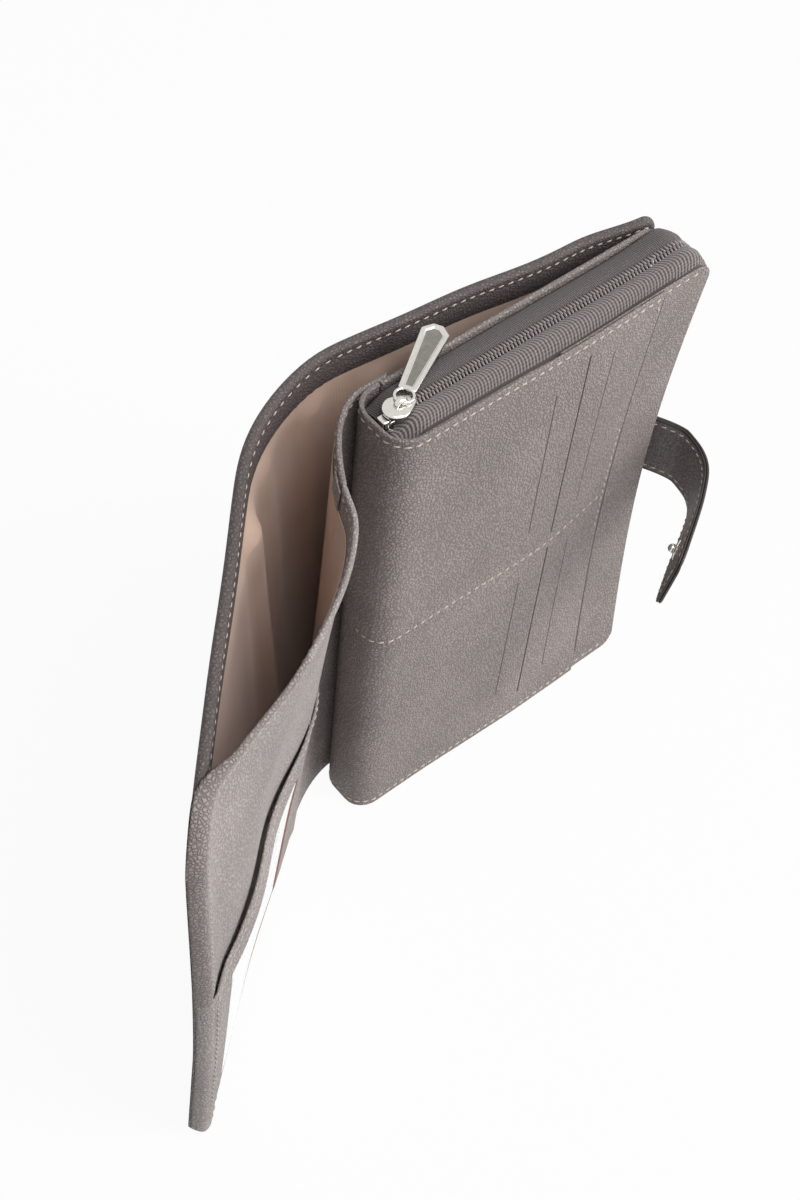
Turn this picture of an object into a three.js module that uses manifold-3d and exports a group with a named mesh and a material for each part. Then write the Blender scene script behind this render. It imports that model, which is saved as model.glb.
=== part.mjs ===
import * as THREE from 'three';
import { mergeVertices } from 'three/addons/utils/BufferGeometryUtils.js';
import Module from 'manifold-3d';

// Travel wallet standing open on its long edge: a zip-round block with card slots on its front, and one
// cover that runs behind the block and round a soft spine to a flap. Cover and inner leather make a long
// note pocket that gapes at the top. Millimetres, +Z up; the drawing's own origin is the block's front
// right foot, and the finished group is set with the middle of its footprint at the origin.

// Overall sizes
const HEIGHT = 190;
const BLOCK_WIDTH = 121;
const BLOCK_DEPTH = 22;
const FLAP_LENGTH = 121;
const FLAP_ANGLE = THREE.MathUtils.degToRad(37);
const FOLD_OUT = 4;
const FOLD_BACK = 7.7;

// Sheet thicknesses, and the clearance between sheets that lie on each other
const COVER_LEATHER = 2;
const BACK_LEATHER = 1.6;
const PANEL_LEATHER = 1;
const ID_LEATHER = 0.8;
const CARD_LEATHER = 0.6;
const LINING = 0.5;
const WINDOW_FILM = 0.3;
const SEAM_GAP = 0.3;

// Cover: inset from the zip side, where the spine starts, and how far the pocket gapes
const COVER_INSET = 4;
const SPINE_START_FOOT = 9;
const SPINE_START_RIM = 13;
const SPINE_END_FOOT = 10;
const SPINE_END_RIM = 20.5;
const COVER_TO_AXIS = 15;
const BACK_GAPE = 12.3;
const SPINE_GAPE = 11.6;
const EDGE_LEAN = 4.5;
const FLAP_CORNER = 10;
const FLAP_HEAD_CORNER = 24;
const COVER_CORNER = 5;
const LINING_DROP = 8;
const LINING_FOOT = 3;

// Inner leather of the note pocket: the rim gives places along the flap and inwards from its axis
const STRIP_OVERLAP = 17;
const STRIP_TURN = 8;
const SEAM_ALONG = 14.7;
const SEAM_OUT = 10.5;
const PANEL_RIM = [[27, 4.9], [47, 6.3], [73, 2.4], [97, -5.4], [108, -8.6]];
const PANEL_SET_IN = 1;

// ID pocket on the flap panel
const ID_MOUTH = 96;
const ID_SIDE_FRAME = 16;
const ID_SPINE_FRAME = 31;
const ID_FOOT_FRAME = 12;
const ID_HEAD_FRAME = 9;
const WINDOW_LAP = 4;

// Zip block: stepped card mouths measured from the zip side, corner radii and soft edge
const CARD_MOUTHS = [61, 49.5, 38.5, 24];
const CARD_STEP = 0.9;
const CARD_TUCK = 8;
const BLOCK_CORNER = 8;
const FOLD_RADIUS = 8;
const WRAP_LAP = 11;
const BACK_INSET = 2;
const LINING_INSET = 5;
const PRESS_DEPTH = 6;
const PRESS_REACH = 18;

// Zip
const ZIP_DROP = 2;
const ZIP_TAPE = 0.8;
const ZIP_START = 6;
const TAPE_TAIL = 2;
const COIL_TOP = 0.2;
const COIL_HEIGHT = 3;
const COIL_WIDTH = 1.2;
const COIL_GAP = 1;
const STOP_LENGTH = 2.3;

// Slider and puller
const SLIDER_FROM_START = 6;
const SLIDER_ROUND = 4;
const SLIDER_TAIL = 2.6;
const SLIDER_BACK = 2;
const SLIDER_FRONT = 5;
const SLIDER_PLATE = 1.2;
const SLIDER_POST = 0.4;
const SLIDER_POST_LENGTH = 3;
const BRIDGE_HALF = 2.4;
const BRIDGE_BAR = 1;
const BRIDGE_WIDTH = 2;
const BRIDGE_CLEAR = 1.9;
const BRIDGE_SEAT = 0.05;
const PULLER_LENGTH = 30;
const PULLER_THICKNESS = 1.2;
const PULLER_NECK = 2.6;
const PULLER_TIP = 4;
const PULLER_CHAMFER = 2.6;
const PULLER_EYE_LENGTH = 3.3;
const PULLER_EYE_HALF = 2.4;
const PULLER_WIRE = 0.8;
const PULLER_SWING = THREE.MathUtils.degToRad(30);
const RECESS_DEPTH = 0.35;
const RECESS_WIDTH = 3.2;
const RECESS_LENGTH = 15;

// Strap and snap
const STRAP_LOW = 82;
const STRAP_WIDTH = 25;
const STRAP_OUTER = 0.8;
const STRAP_INNER = 0.6;
const STRAP_THICKNESS = STRAP_OUTER + SEAM_GAP + STRAP_INNER;
const STRAP_TAIL = 10;
const STRAP_TIP_CORNER = 6;
const STRAP_HINGE = new THREE.Vector2(11.3, 0.8);
const STRAP_ROOM_BACK = 1.5;
const STRAP_ROOM_SIDE = 6;
const STRAP_PAST_HINGE = 0.7;
const STRAP_FROM_HINGE = 1.3;
const STRAP_BENDS = [[9.8, -7], [5.4, -12.8], [-3.5, -18.5], [-16.5, -25.2]];
const STRAP_TIP = [-30, -32];
const STUD_FROM_TIP = 15.5;
const STUD_BALL = 3;
const STUD_NECK = 2;
const STUD_FLANGE = 7;
const STUD_CAP = 9;
const CAP_CROWN = 5.4;
const CAP_HEIGHT = 1.5;
const SOCKET_OUTER = 11;
const SOCKET_HOLE = 5.4;
const SOCKET_HEIGHT = 2.6;
const SOCKET_FROM_EDGE = 21;
const EYELET_OUTER = 9;
const EYELET_HOLE = 3;
const RIVET_PLATE = 0.7;
const RING_SHOULDER = 0.6;

// Facets: rows up a sheet, columns along it and steps round a curve
const POCKET_ROWS = 5;
const BLOCK_ROWS = 8;
const LEAF_ROWS = 4;
const FILM_ROWS = 3;
const STRAP_ROWS = 2;
const COVER_COLUMNS = 5;
const BEND_COLUMNS = 10;
const FLAP_COLUMNS = 6;
const PANEL_COLUMNS = 14;
const WRAP_COLUMNS = 28;
const STRAP_COLUMNS = 12;
const ROUND_STEPS = 5;
const TURNED_STEPS = 20;
const CORNER_SHARES = [0, 0.08, 0.3, 0.62, 1];
const WELD = 1e-4;
const TANGENT_STEP = 0.002;

// Finishes
const finish = (color, roughness, metalness = 0) =>
  new THREE.MeshStandardMaterial({ color, roughness, metalness });
const leather = finish(0x8f8783, 0.6);
const lining = finish(0xb79e8c, 0.8);
const tape = finish(0x77716f, 0.85);
const coil = finish(0x6d6867, 0.5);
const nickel = finish(0xc9c7c4, 0.2, 1);
const film = finish(0xf2f2f0, 0.15);

const wasm = await Module();
wasm.setup();

const point = (x, y) => new THREE.Vector2(x, y);
const line = (from, to) => new THREE.LineCurve(from, to);
const path = (...curves) => Object.assign(new THREE.CurvePath(), { curves });
const between = THREE.MathUtils.lerp;
const midDepth = BLOCK_DEPTH / 2;
const QUARTER = Math.PI / 2;

// The flap's own plan frame: along from the fold axis to the free edge, in towards the block's side.
const foldAxis = point(-BLOCK_WIDTH - FOLD_OUT, FOLD_BACK);
const flapAlong = point(-Math.cos(FLAP_ANGLE), -Math.sin(FLAP_ANGLE));
const flapIn = point(Math.sin(FLAP_ANGLE), -Math.cos(FLAP_ANGLE));
const onFlap = (along, inward) =>
  foldAxis.clone().addScaledVector(flapAlong, along).addScaledVector(flapIn, inward);

/** Even shares from 0 to 1. */
const even = steps => Array.from({ length: steps + 1 }, (_, i) => i / steps);

/** Shares from 0 to 1 that crowd into rounded corners at the start, the end or both. */
function crowded(steps, length, radius, start, end, headRadius = radius) {
  const arc = CORNER_SHARES.map(share => (share * headRadius) / length);
  const from = start ? arc : [0];
  const to = end ? arc.map(share => 1 - share).reverse() : [1];
  const first = from[from.length - 1];
  const span = to[0] - first;
  const inner = even(steps).slice(1, -1).map(share => first + share * span);
  return [...from, ...inner, ...to];
}

/** How far a rounded corner cuts into the height at a distance from the sheet's end. */
const cornerCut = (distance, radius) =>
  distance >= radius ? 0 : radius - Math.sqrt(radius ** 2 - (radius - Math.max(distance, 0)) ** 2);

/** A surface ruled from a plan path at the foot to one at the rim. */
const ruled = (foot, rim) => (share, z) => foot.getPoint(share).lerp(rim.getPoint(share), z / HEIGHT);

/** An upright surface over one plan path. */
const upright = plan => share => plan.getPoint(share);

/** The left-hand plan normal of a surface. */
function normalOf(surface, share, z) {
  const before = surface(Math.max(share - TANGENT_STEP, 0), z);
  const tangent = surface(Math.min(share + TANGENT_STEP, 1), z).sub(before).normalize();
  return point(-tangent.y, tangent.x);
}

/** Closed indexed mesh from corner positions and triangles. */
function closedMesh(positions, triangles) {
  const geometry = new THREE.BufferGeometry();
  geometry.setAttribute('position', new THREE.Float32BufferAttribute(positions, 3));
  geometry.setIndex(triangles);
  return geometry;
}

/**
 * A sheet of even thickness on a surface: columns are shares along it, heights gives each column's rows,
 * offset moves it along the left-hand normal, and cells that isOpen names are left out.
 */
function sheet(surface, columns, heights, thickness, offset = 0, isOpen = () => false) {
  const rows = heights(columns[0]).length;
  const positions = [];
  columns.forEach(share => {
    heights(share).forEach(z => {
      const middle = surface(share, z);
      const normal = normalOf(surface, share, z);
      for (const side of [0.5, -0.5]) {
        const place = middle.clone().addScaledVector(normal, offset + side * thickness);
        positions.push(place.x, place.y, z);
      }
    });
  });
  const corner = (column, row, back) => 2 * (column * rows + row) + back;
  const inside = (index, count) => index >= 0 && index < count - 1;
  const used = (column, row) =>
    inside(column, columns.length) && inside(row, rows) && !isOpen(columns[column], row);
  const triangles = [];
  const quad = (a, b, c, d) => triangles.push(a, b, c, a, c, d);
  for (let i = 0; i < columns.length - 1; i += 1) {
    for (let j = 0; j < rows - 1; j += 1) {
      if (!used(i, j)) continue;
      const ring = [[i, j], [i, j + 1], [i + 1, j + 1], [i + 1, j]];
      const beyond = [[i - 1, j], [i, j + 1], [i + 1, j], [i, j - 1]];
      const [a, b, c, d] = ring.map(place => corner(...place, 0));
      quad(a, b, c, d);
      quad(a + 1, d + 1, c + 1, b + 1);
      beyond.forEach((next, edge) => {
        if (used(...next)) return;
        const [from, to] = [ring[edge], ring[(edge + 1) % 4]];
        quad(corner(...to, 0), corner(...from, 0), corner(...from, 1), corner(...to, 1));
      });
    }
  }
  return closedMesh(positions, triangles);
}

/** Rows from low to high that follow rounded corners of a sheet of the given length. */
function rowsBetween(
  low, high, steps, length = 0, radius = 0, start = false, end = false, headRadius = radius,
) {
  return share => {
    const fromStart = start ? share * length : length;
    const reach = Math.min(fromStart, end ? (1 - share) * length : length);
    const [foot, head] = [low + cornerCut(reach, radius), high - cornerCut(reach, headRadius)];
    return even(steps).map(row => between(foot, head, row));
  };
}

/** The zip side of the block gives way at half height, most at the front. */
function pressed(geometry) {
  const place = geometry.getAttribute('position');
  for (let i = 0; i < place.count; i += 1) {
    const [x, y, z] = [place.getX(i), place.getY(i), place.getZ(i)];
    const towardsZip = THREE.MathUtils.smoothstep(x, -CARD_MOUTHS[0], 0);
    const halfway = Math.sin((Math.PI * z) / HEIGHT);
    place.setY(i, y + PRESS_DEPTH * towardsZip * halfway * Math.max(0, 1 - y / PRESS_REACH));
  }
  return geometry;
}

/** A geometry as a solid for joining and cutting. */
function solid(geometry) {
  const bare = geometry.clone();
  bare.deleteAttribute('normal');
  bare.deleteAttribute('uv');
  const merged = mergeVertices(bare, WELD);
  return new wasm.Manifold(new wasm.Mesh({
    numProp: 3,
    vertProperties: new Float32Array(merged.getAttribute('position').array),
    triVerts: new Uint32Array(merged.getIndex().array),
  }));
}

/** A joined or cut solid as a geometry. */
function geometryOf(body) {
  const mesh = body.getMesh();
  return closedMesh(Array.from(mesh.vertProperties), Array.from(mesh.triVerts));
}

const drawing = new THREE.Group();

/** Adds one named sub-part. */
function add(name, geometry, material) {
  const mesh = new THREE.Mesh(geometry, material);
  mesh.name = name;
  drawing.add(mesh);
  return mesh;
}

// Layers from the cover's middle inwards
const liningIn = COVER_LEATHER / 2 + SEAM_GAP + LINING / 2;
const partitionLiningIn = liningIn + LINING + SEAM_GAP;
const partitionIn = partitionLiningIn + LINING / 2 + SEAM_GAP + PANEL_LEATHER / 2;
const partitionDepth = BLOCK_DEPTH + SEAM_GAP + PANEL_LEATHER / 2;
const coverDepth = partitionDepth + partitionIn;

/** The point where two plan lines meet, each given by two of its points. */
function meeting(a, b, c, d) {
  const [first, second] = [b.clone().sub(a), d.clone().sub(c)];
  const share = c.clone().sub(a).cross(second) / first.cross(second);
  return a.clone().addScaledVector(first, share);
}

/** Curve round the spine that leaves one line and joins another smoothly. */
function turn(first, second) {
  const bend = meeting(first.v1, first.v2, second.v1, second.v2);
  return new THREE.QuadraticBezierCurve(first.v2, bend, second.v1);
}

// Cover: straight behind the block, round the spine and straight along the flap
const coverStart = point(-COVER_INSET, coverDepth);
const backFoot = line(coverStart, point(-BLOCK_WIDTH + SPINE_START_FOOT, coverDepth));
const backRim = line(coverStart, point(-BLOCK_WIDTH + SPINE_START_RIM, coverDepth + BACK_GAPE));
const flapFoot = line(onFlap(SPINE_END_FOOT, -COVER_TO_AXIS), onFlap(FLAP_LENGTH, -COVER_TO_AXIS));
const flapRim = line(
  onFlap(SPINE_END_RIM, -COVER_TO_AXIS - SPINE_GAPE),
  onFlap(FLAP_LENGTH, EDGE_LEAN - COVER_TO_AXIS),
);
const coverBack = ruled(path(backFoot), path(backRim));
const coverSpine = ruled(path(turn(backFoot, flapFoot)), path(turn(backRim, flapRim)));
const coverFlap = ruled(path(flapFoot), path(flapRim));
const spineLength = turn(backRim, flapRim).getLength();
const flapRun = flapFoot.getLength();
const butt = SEAM_GAP / spineLength;
const spineColumns = even(BEND_COLUMNS).map(share => between(butt, 1 - butt, share));

/** Rows of a lining, and rows of its leather, which add a hem at the foot and at the rim. */
const liningRows = (...corner) =>
  rowsBetween(LINING_FOOT, HEIGHT - LINING_DROP, POCKET_ROWS, ...corner);
const hemmedRows = (...corner) => share => {
  const inner = liningRows(...corner)(share);
  return [inner[0] - LINING_FOOT, ...inner, inner[inner.length - 1] + LINING_DROP];
};
const flapCorner = [flapRun, FLAP_CORNER, false, true, FLAP_HEAD_CORNER];
const coverCorner = [backFoot.getLength(), COVER_CORNER, true, false];

for (const [name, surface, columns, corner] of [
  ['back', coverBack, crowded(COVER_COLUMNS, ...coverCorner), coverCorner],
  ['spine', coverSpine, spineColumns, []],
  ['flap', coverFlap, crowded(FLAP_COLUMNS, ...flapCorner), flapCorner],
]) {
  add(`cover_${name}`, sheet(surface, columns, hemmedRows(...corner), COVER_LEATHER), leather);
  add(`cover_lining_${name}`, sheet(surface, columns, liningRows(...corner), LINING, liningIn), lining);
}

// Spine strip from the back leaf to the seam, and the flap panel from the seam to the free edge
const partitionToAxis = COVER_TO_AXIS - partitionIn;
const stripStart = point(-BLOCK_WIDTH + STRIP_OVERLAP, partitionDepth);
const stripFlat = line(stripStart, point(-BLOCK_WIDTH + SPINE_START_FOOT, partitionDepth));
const panelEnd = FLAP_LENGTH - PANEL_SET_IN;
const panelFoot = line(onFlap(SPINE_END_FOOT, -partitionToAxis), onFlap(panelEnd, -partitionToAxis));
const stripFoot = path(stripFlat, turn(stripFlat, panelFoot));
const seamRim = onFlap(SEAM_ALONG, SEAM_OUT - partitionToAxis);
const panelRimEnd = onFlap(panelEnd, EDGE_LEAN - partitionToAxis);
const stripBend = point(-BLOCK_WIDTH - FOLD_OUT, BLOCK_DEPTH);
const stripRim = path(
  line(stripStart, point(-BLOCK_WIDTH + STRIP_TURN, partitionDepth)),
  new THREE.QuadraticBezierCurve(point(-BLOCK_WIDTH + STRIP_TURN, partitionDepth), stripBend, seamRim),
);
const strip = ruled(stripFoot, stripRim);
const stripLength = stripFoot.getLength();
const stripColumns = even(BEND_COLUMNS).map(share => share * (1 - SEAM_GAP / stripLength));

// The flap panel is flat at the foot, bulged at the rim where the note pocket gapes, and shut at its end.
const rimPlaces = PANEL_RIM.map(([along, inward]) => onFlap(along, inward));
const panelRim = new THREE.SplineCurve([seamRim, ...rimPlaces, panelRimEnd]);
const panel = ruled(path(panelFoot), path(panelRim));
const panelRun = panelFoot.getLength();
const panelCorner = [panelRun, FLAP_CORNER, false, true, FLAP_HEAD_CORNER];
const panelColumns = crowded(PANEL_COLUMNS, ...panelCorner);
const liningBehind = -(PANEL_LEATHER / 2 + SEAM_GAP + LINING / 2);

for (const [name, surface, columns, corner] of [
  ['spine_strip', strip, stripColumns, []],
  ['flap_panel', panel, panelColumns, panelCorner],
]) {
  add(name, sheet(surface, columns, hemmedRows(...corner), PANEL_LEATHER), leather);
  add(`${name}_lining`, sheet(surface, columns, liningRows(...corner), LINING, liningBehind), lining);
}

// ID pocket over the lower half of the flap panel, with a clear film behind its window
const filmOut = PANEL_LEATHER / 2 + SEAM_GAP + WINDOW_FILM / 2;
const idOut = filmOut + WINDOW_FILM / 2 + SEAM_GAP + ID_LEATHER / 2;
const windowFrom = ID_SPINE_FRAME / panelRun;
const windowTo = 1 - ID_SIDE_FRAME / panelRun;
const windowSill = ID_FOOT_FRAME;
const windowHead = ID_MOUTH - ID_HEAD_FRAME;
const windowColumns = even(ROUND_STEPS).map(share => between(windowFrom, windowTo, share));
const cornerColumns = crowded(1, panelRun, FLAP_CORNER, false, true).slice(1);
const sideColumn = (windowTo + cornerColumns[0]) / 2;
const idColumns = [0, windowFrom / 2, ...windowColumns, sideColumn, ...cornerColumns];
const idRows = share => {
  const cut = cornerCut((1 - share) * panelRun, FLAP_CORNER);
  return [cut, windowSill, (windowSill + windowHead) / 2, windowHead, ID_MOUTH];
};
const inWindow = (share, row) => windowColumns.slice(0, -1).includes(share) && (row === 1 || row === 2);
add('id_pocket', sheet(panel, idColumns, idRows, ID_LEATHER, idOut, inWindow), leather);
const lap = WINDOW_LAP / panelRun;
const filmColumns = even(FLAP_COLUMNS).map(share => between(windowFrom - lap, windowTo + lap, share));
const filmRows = rowsBetween(windowSill - WINDOW_LAP, windowHead + WINDOW_LAP, FILM_ROWS);
add('id_window', sheet(panel, filmColumns, filmRows, WINDOW_FILM, filmOut), film);

// Front leaf: base panel, stepped card layers and the leather that wraps round the fold end
const layerFront = layer => CARD_STEP * (1 - layer);
const frontEnd = BLOCK_WIDTH - CARD_TUCK;
const frontRun = (edge, depth) => line(point(-edge, depth), point(-frontEnd, depth));

/** Shares at which every front layer past an edge has a column, so that soft layers stay parallel. */
function frontColumns(edge, length) {
  const places = [...CARD_MOUTHS].reverse();
  places.push((CARD_MOUTHS[0] + frontEnd) / 2, frontEnd);
  return places.filter(place => place > edge).map(place => (place - edge) / length);
}

/** A card layer or the base panel: from its mouth, or from the zip side, to under the wrap. */
function frontSheet(edge, layer, rounded) {
  const run = frontRun(edge, layerFront(layer));
  const length = run.getLength();
  const corner = rounded ? [length, BLOCK_CORNER, true, false] : [];
  const start = rounded ? crowded(1, ...corner).slice(0, -1) : [0];
  const columns = [...start, ...frontColumns(edge, length)];
  const rows = rowsBetween(0, HEIGHT, BLOCK_ROWS, ...corner);
  return pressed(sheet(upright(path(run)), columns, rows, CARD_LEATHER));
}
add('front_panel', frontSheet(0, 0, true), leather);
CARD_MOUTHS.slice(1).forEach((mouth, i) => {
  const layer = CARD_MOUTHS.length - 1 - i;
  add(`card_layer_${i + 2}`, frontSheet(mouth, layer, false), leather);
});

/** Quarter turn of the fold end about a depth, clockwise seen from above. */
const foldArc = (depth, from) =>
  new THREE.EllipseCurve(foldCentre, depth, FOLD_RADIUS, FOLD_RADIUS, from, from - QUARTER, true);
const wrapFront = layerFront(CARD_MOUTHS.length);
const wrapBack = BLOCK_DEPTH - BACK_LEATHER / 2;
const foldCentre = -BLOCK_WIDTH + FOLD_RADIUS;
const wrapPath = path(
  line(point(-CARD_MOUTHS[0], wrapFront), point(foldCentre, wrapFront)),
  foldArc(wrapFront + FOLD_RADIUS, 3 * QUARTER),
  line(point(-BLOCK_WIDTH, wrapFront + FOLD_RADIUS), point(-BLOCK_WIDTH, wrapBack - FOLD_RADIUS)),
  foldArc(wrapBack - FOLD_RADIUS, 2 * QUARTER),
  line(point(foldCentre, wrapBack), point(-BLOCK_WIDTH + WRAP_LAP, wrapBack)),
);
const wrapRows = rowsBetween(0, HEIGHT, LEAF_ROWS);
add('front_wrap', sheet(upright(wrapPath), even(WRAP_COLUMNS), wrapRows, CARD_LEATHER), leather);

// Back leaf and the lining of the zip compartment
const backRun = line(
  point(-BACK_INSET, wrapBack),
  point(-BLOCK_WIDTH + WRAP_LAP + SEAM_GAP, wrapBack),
);
const backCorner = [backRun.getLength(), BLOCK_CORNER, true, false];
const backColumns = crowded(COVER_COLUMNS, ...backCorner);
const backRows = rowsBetween(0, HEIGHT, LEAF_ROWS, ...backCorner);
add('back_leaf', sheet(upright(path(backRun)), backColumns, backRows, BACK_LEATHER), leather);

const frontLiningDepth = layerFront(0) + CARD_LEATHER / 2 + SEAM_GAP + LINING / 2;
const backLiningDepth = BLOCK_DEPTH - BACK_LEATHER - SEAM_GAP - LINING / 2;
const insideRows = rowsBetween(LINING_INSET, HEIGHT - LINING_INSET, BLOCK_ROWS);

/** A lining sheet of the zip compartment. */
function insideSheet(depth) {
  const run = frontRun(LINING_INSET, depth);
  const columns = [0, ...frontColumns(LINING_INSET, run.getLength())];
  return pressed(sheet(upright(path(run)), columns, insideRows, LINING));
}
add('compartment_lining_front', insideSheet(frontLiningDepth), lining);
add('compartment_lining_back', insideSheet(backLiningDepth), lining);

/** Places along the zip in the upright plane: along the head, down the zip side and back along the foot. */
function zipRoute(start, inset) {
  const radius = BLOCK_CORNER - inset;
  const [left, right] = [-BLOCK_WIDTH + start, -inset - radius];
  const [low, high] = [inset + radius, HEIGHT - inset - radius];
  const place = (x, z, angle) => {
    const out = point(Math.cos(angle), Math.sin(angle));
    return { at: point(x, z).addScaledVector(out, radius), out };
  };
  const inner = even(ROUND_STEPS).slice(1, -1);
  const head = even(ROUND_STEPS).map(share => place(between(left, right, share), high, QUARTER));
  const side = even(BLOCK_ROWS).map(share => place(right, between(high, low, share), 0));
  const foot = even(ROUND_STEPS).map(share => place(between(right, left, share), low, -QUARTER));
  const round = (z, from) => inner.map(share => place(right, z, from - share * QUARTER));
  return [...head, ...round(high, QUARTER), ...side, ...round(low, 0), ...foot];
}

/** A band of even section that follows the zip between two depths. */
function zipBand(start, inset, thickness, from, to) {
  const positions = [];
  const triangles = [];
  const quad = (a, b, c, d) => triangles.push(a, b, c, a, c, d);
  const route = zipRoute(start, inset);
  route.forEach(({ at, out }) => {
    const inner = at.clone().addScaledVector(out, -thickness);
    positions.push(at.x, from, at.y, at.x, to, at.y, inner.x, to, inner.y, inner.x, from, inner.y);
  });
  for (let ring = 4; ring < 4 * route.length; ring += 4) {
    for (let side = 0; side < 4; side += 1) {
      const next = (side + 1) % 4;
      quad(ring - 4 + next, ring - 4 + side, ring + side, ring + next);
    }
  }
  const last = 4 * (route.length - 1);
  quad(0, 1, 2, 3);
  quad(last, last + 3, last + 2, last + 1);
  return pressed(closedMesh(positions, triangles));
}
const coilInner = COIL_GAP / 2;
const coilOuter = coilInner + COIL_WIDTH;
const tapeFrom = frontLiningDepth + LINING / 2 + SEAM_GAP;
const tapeTo = backLiningDepth - LINING / 2 - SEAM_GAP;
const tapeInner = coilOuter + SEAM_GAP;
const tapeStart = ZIP_START - TAPE_TAIL;
const tapeBand = (from, to) => zipBand(tapeStart, ZIP_DROP, ZIP_TAPE, from, to);
const coilBand = (from, to) => zipBand(ZIP_START, COIL_TOP, COIL_HEIGHT, from, to);
add('zip_tape_front', tapeBand(tapeFrom, midDepth - tapeInner), tape);
add('zip_tape_back', tapeBand(midDepth + tapeInner, tapeTo), tape);
add('zip_coil_front', coilBand(midDepth - coilOuter, midDepth - coilInner), coil);
add('zip_coil_back', coilBand(midDepth + coilInner, midDepth + coilOuter), coil);

const stopAt = -BLOCK_WIDTH + ZIP_START - SEAM_GAP - STOP_LENGTH / 2;
for (const [name, z] of [
  ['zip_stop_top', HEIGHT - COIL_TOP - COIL_HEIGHT / 2],
  ['zip_stop_bottom', COIL_TOP + COIL_HEIGHT / 2],
]) {
  const stop = add(name, new THREE.BoxGeometry(STOP_LENGTH, 2 * coilOuter, COIL_HEIGHT), nickel);
  stop.position.set(stopAt, midDepth, z);
}

// Slider: two plates round the chain, joined by a thin post between the coils
const sliderAt = -BLOCK_WIDTH + ZIP_START + SLIDER_FROM_START;
const coilHead = HEIGHT - COIL_TOP;
const plateLow = coilHead - COIL_HEIGHT - SEAM_GAP - SLIDER_PLATE;
const plateHigh = coilHead + SEAM_GAP;
const sliderHead = plateHigh + SLIDER_PLATE;

/** A flat outline given a thickness. */
const extruded = (outline, depth) =>
  new THREE.ExtrudeGeometry(outline, { depth, bevelEnabled: false, curveSegments: STRAP_COLUMNS });

/** Teardrop plate of the slider with its underside at the given height. */
function sliderPlate(z) {
  const outline = new THREE.Shape();
  outline.absarc(-SLIDER_BACK, 0, SLIDER_ROUND, QUARTER, 3 * QUARTER, false);
  outline.lineTo(SLIDER_FRONT, -SLIDER_TAIL);
  outline.lineTo(SLIDER_FRONT, SLIDER_TAIL);
  return extruded(outline, SLIDER_PLATE).translate(0, 0, z);
}
const postHeight = plateHigh - plateLow;
const post = new THREE.BoxGeometry(SLIDER_POST_LENGTH, SLIDER_POST, postHeight);
post.translate(-SLIDER_BACK, 0, (plateHigh + plateLow + SLIDER_PLATE) / 2);
const sliderSolid = solid(sliderPlate(plateLow)).add(solid(sliderPlate(plateHigh))).add(solid(post));
add('slider_body', geometryOf(sliderSolid), nickel).position.set(sliderAt, midDepth, 0);

/** Arched bridge over the slider that holds the puller's wire. */
function bridgeArch() {
  const [half, top] = [BRIDGE_HALF, BRIDGE_CLEAR + BRIDGE_BAR];
  const arch = new THREE.Shape();
  arch.moveTo(-half, 0);
  arch.lineTo(-half, top - BRIDGE_BAR);
  arch.quadraticCurveTo(-half, top, -half + BRIDGE_BAR, top);
  arch.lineTo(half - BRIDGE_BAR, top);
  arch.quadraticCurveTo(half, top, half, top - BRIDGE_BAR);
  arch.lineTo(half, 0);
  arch.lineTo(half - BRIDGE_BAR, 0);
  arch.lineTo(half - BRIDGE_BAR, BRIDGE_CLEAR);
  arch.lineTo(-half + BRIDGE_BAR, BRIDGE_CLEAR);
  arch.lineTo(-half + BRIDGE_BAR, 0);
  return extruded(arch, BRIDGE_WIDTH).rotateX(QUARTER).translate(0, BRIDGE_WIDTH / 2, 0);
}
add('slider_bridge', bridgeArch(), nickel).position.set(sliderAt, midDepth, sliderHead + BRIDGE_SEAT);

/** Long puller: wire eye at the bridge, widening to a chamfered tip, with a bare recess along it. */
function pullerPlate() {
  const wire = PULLER_WIRE / 2;
  const eyeOuter = PULLER_EYE_HALF + PULLER_WIRE;
  const eyeEnd = PULLER_EYE_LENGTH + PULLER_WIRE;
  const outline = new THREE.Shape();
  outline.moveTo(-wire, -PULLER_EYE_HALF);
  outline.quadraticCurveTo(-wire, -eyeOuter, wire + PULLER_WIRE, -eyeOuter);
  outline.lineTo(eyeEnd, -eyeOuter);
  outline.lineTo(eyeEnd + PULLER_WIRE, -PULLER_NECK);
  outline.lineTo(PULLER_LENGTH - PULLER_CHAMFER, -PULLER_TIP);
  outline.lineTo(PULLER_LENGTH, -PULLER_TIP + PULLER_CHAMFER);
  outline.lineTo(PULLER_LENGTH, PULLER_TIP - PULLER_CHAMFER);
  outline.lineTo(PULLER_LENGTH - PULLER_CHAMFER, PULLER_TIP);
  outline.lineTo(eyeEnd + PULLER_WIRE, PULLER_NECK);
  outline.lineTo(eyeEnd, eyeOuter);
  outline.lineTo(wire + PULLER_WIRE, eyeOuter);
  outline.quadraticCurveTo(-wire, eyeOuter, -wire, PULLER_EYE_HALF);
  const plate = extruded(outline, PULLER_THICKNESS).translate(0, 0, -PULLER_THICKNESS / 2);
  const recess = new THREE.BoxGeometry(RECESS_LENGTH, RECESS_WIDTH, 2 * RECESS_DEPTH);
  recess.translate((PULLER_LENGTH + eyeEnd) / 2, 0, PULLER_THICKNESS / 2);
  const eye = new THREE.BoxGeometry(PULLER_EYE_LENGTH - wire, 2 * PULLER_EYE_HALF, 2 * PULLER_THICKNESS);
  eye.translate((PULLER_EYE_LENGTH + wire) / 2, 0, 0);
  return geometryOf(solid(plate).subtract(solid(recess)).subtract(solid(eye)));
}
const puller = add('puller', pullerPlate(), nickel);
puller.position.set(sliderAt, midDepth, sliderHead + BRIDGE_SEAT + BRIDGE_CLEAR / 2);
puller.rotation.z = PULLER_SWING;

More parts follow.
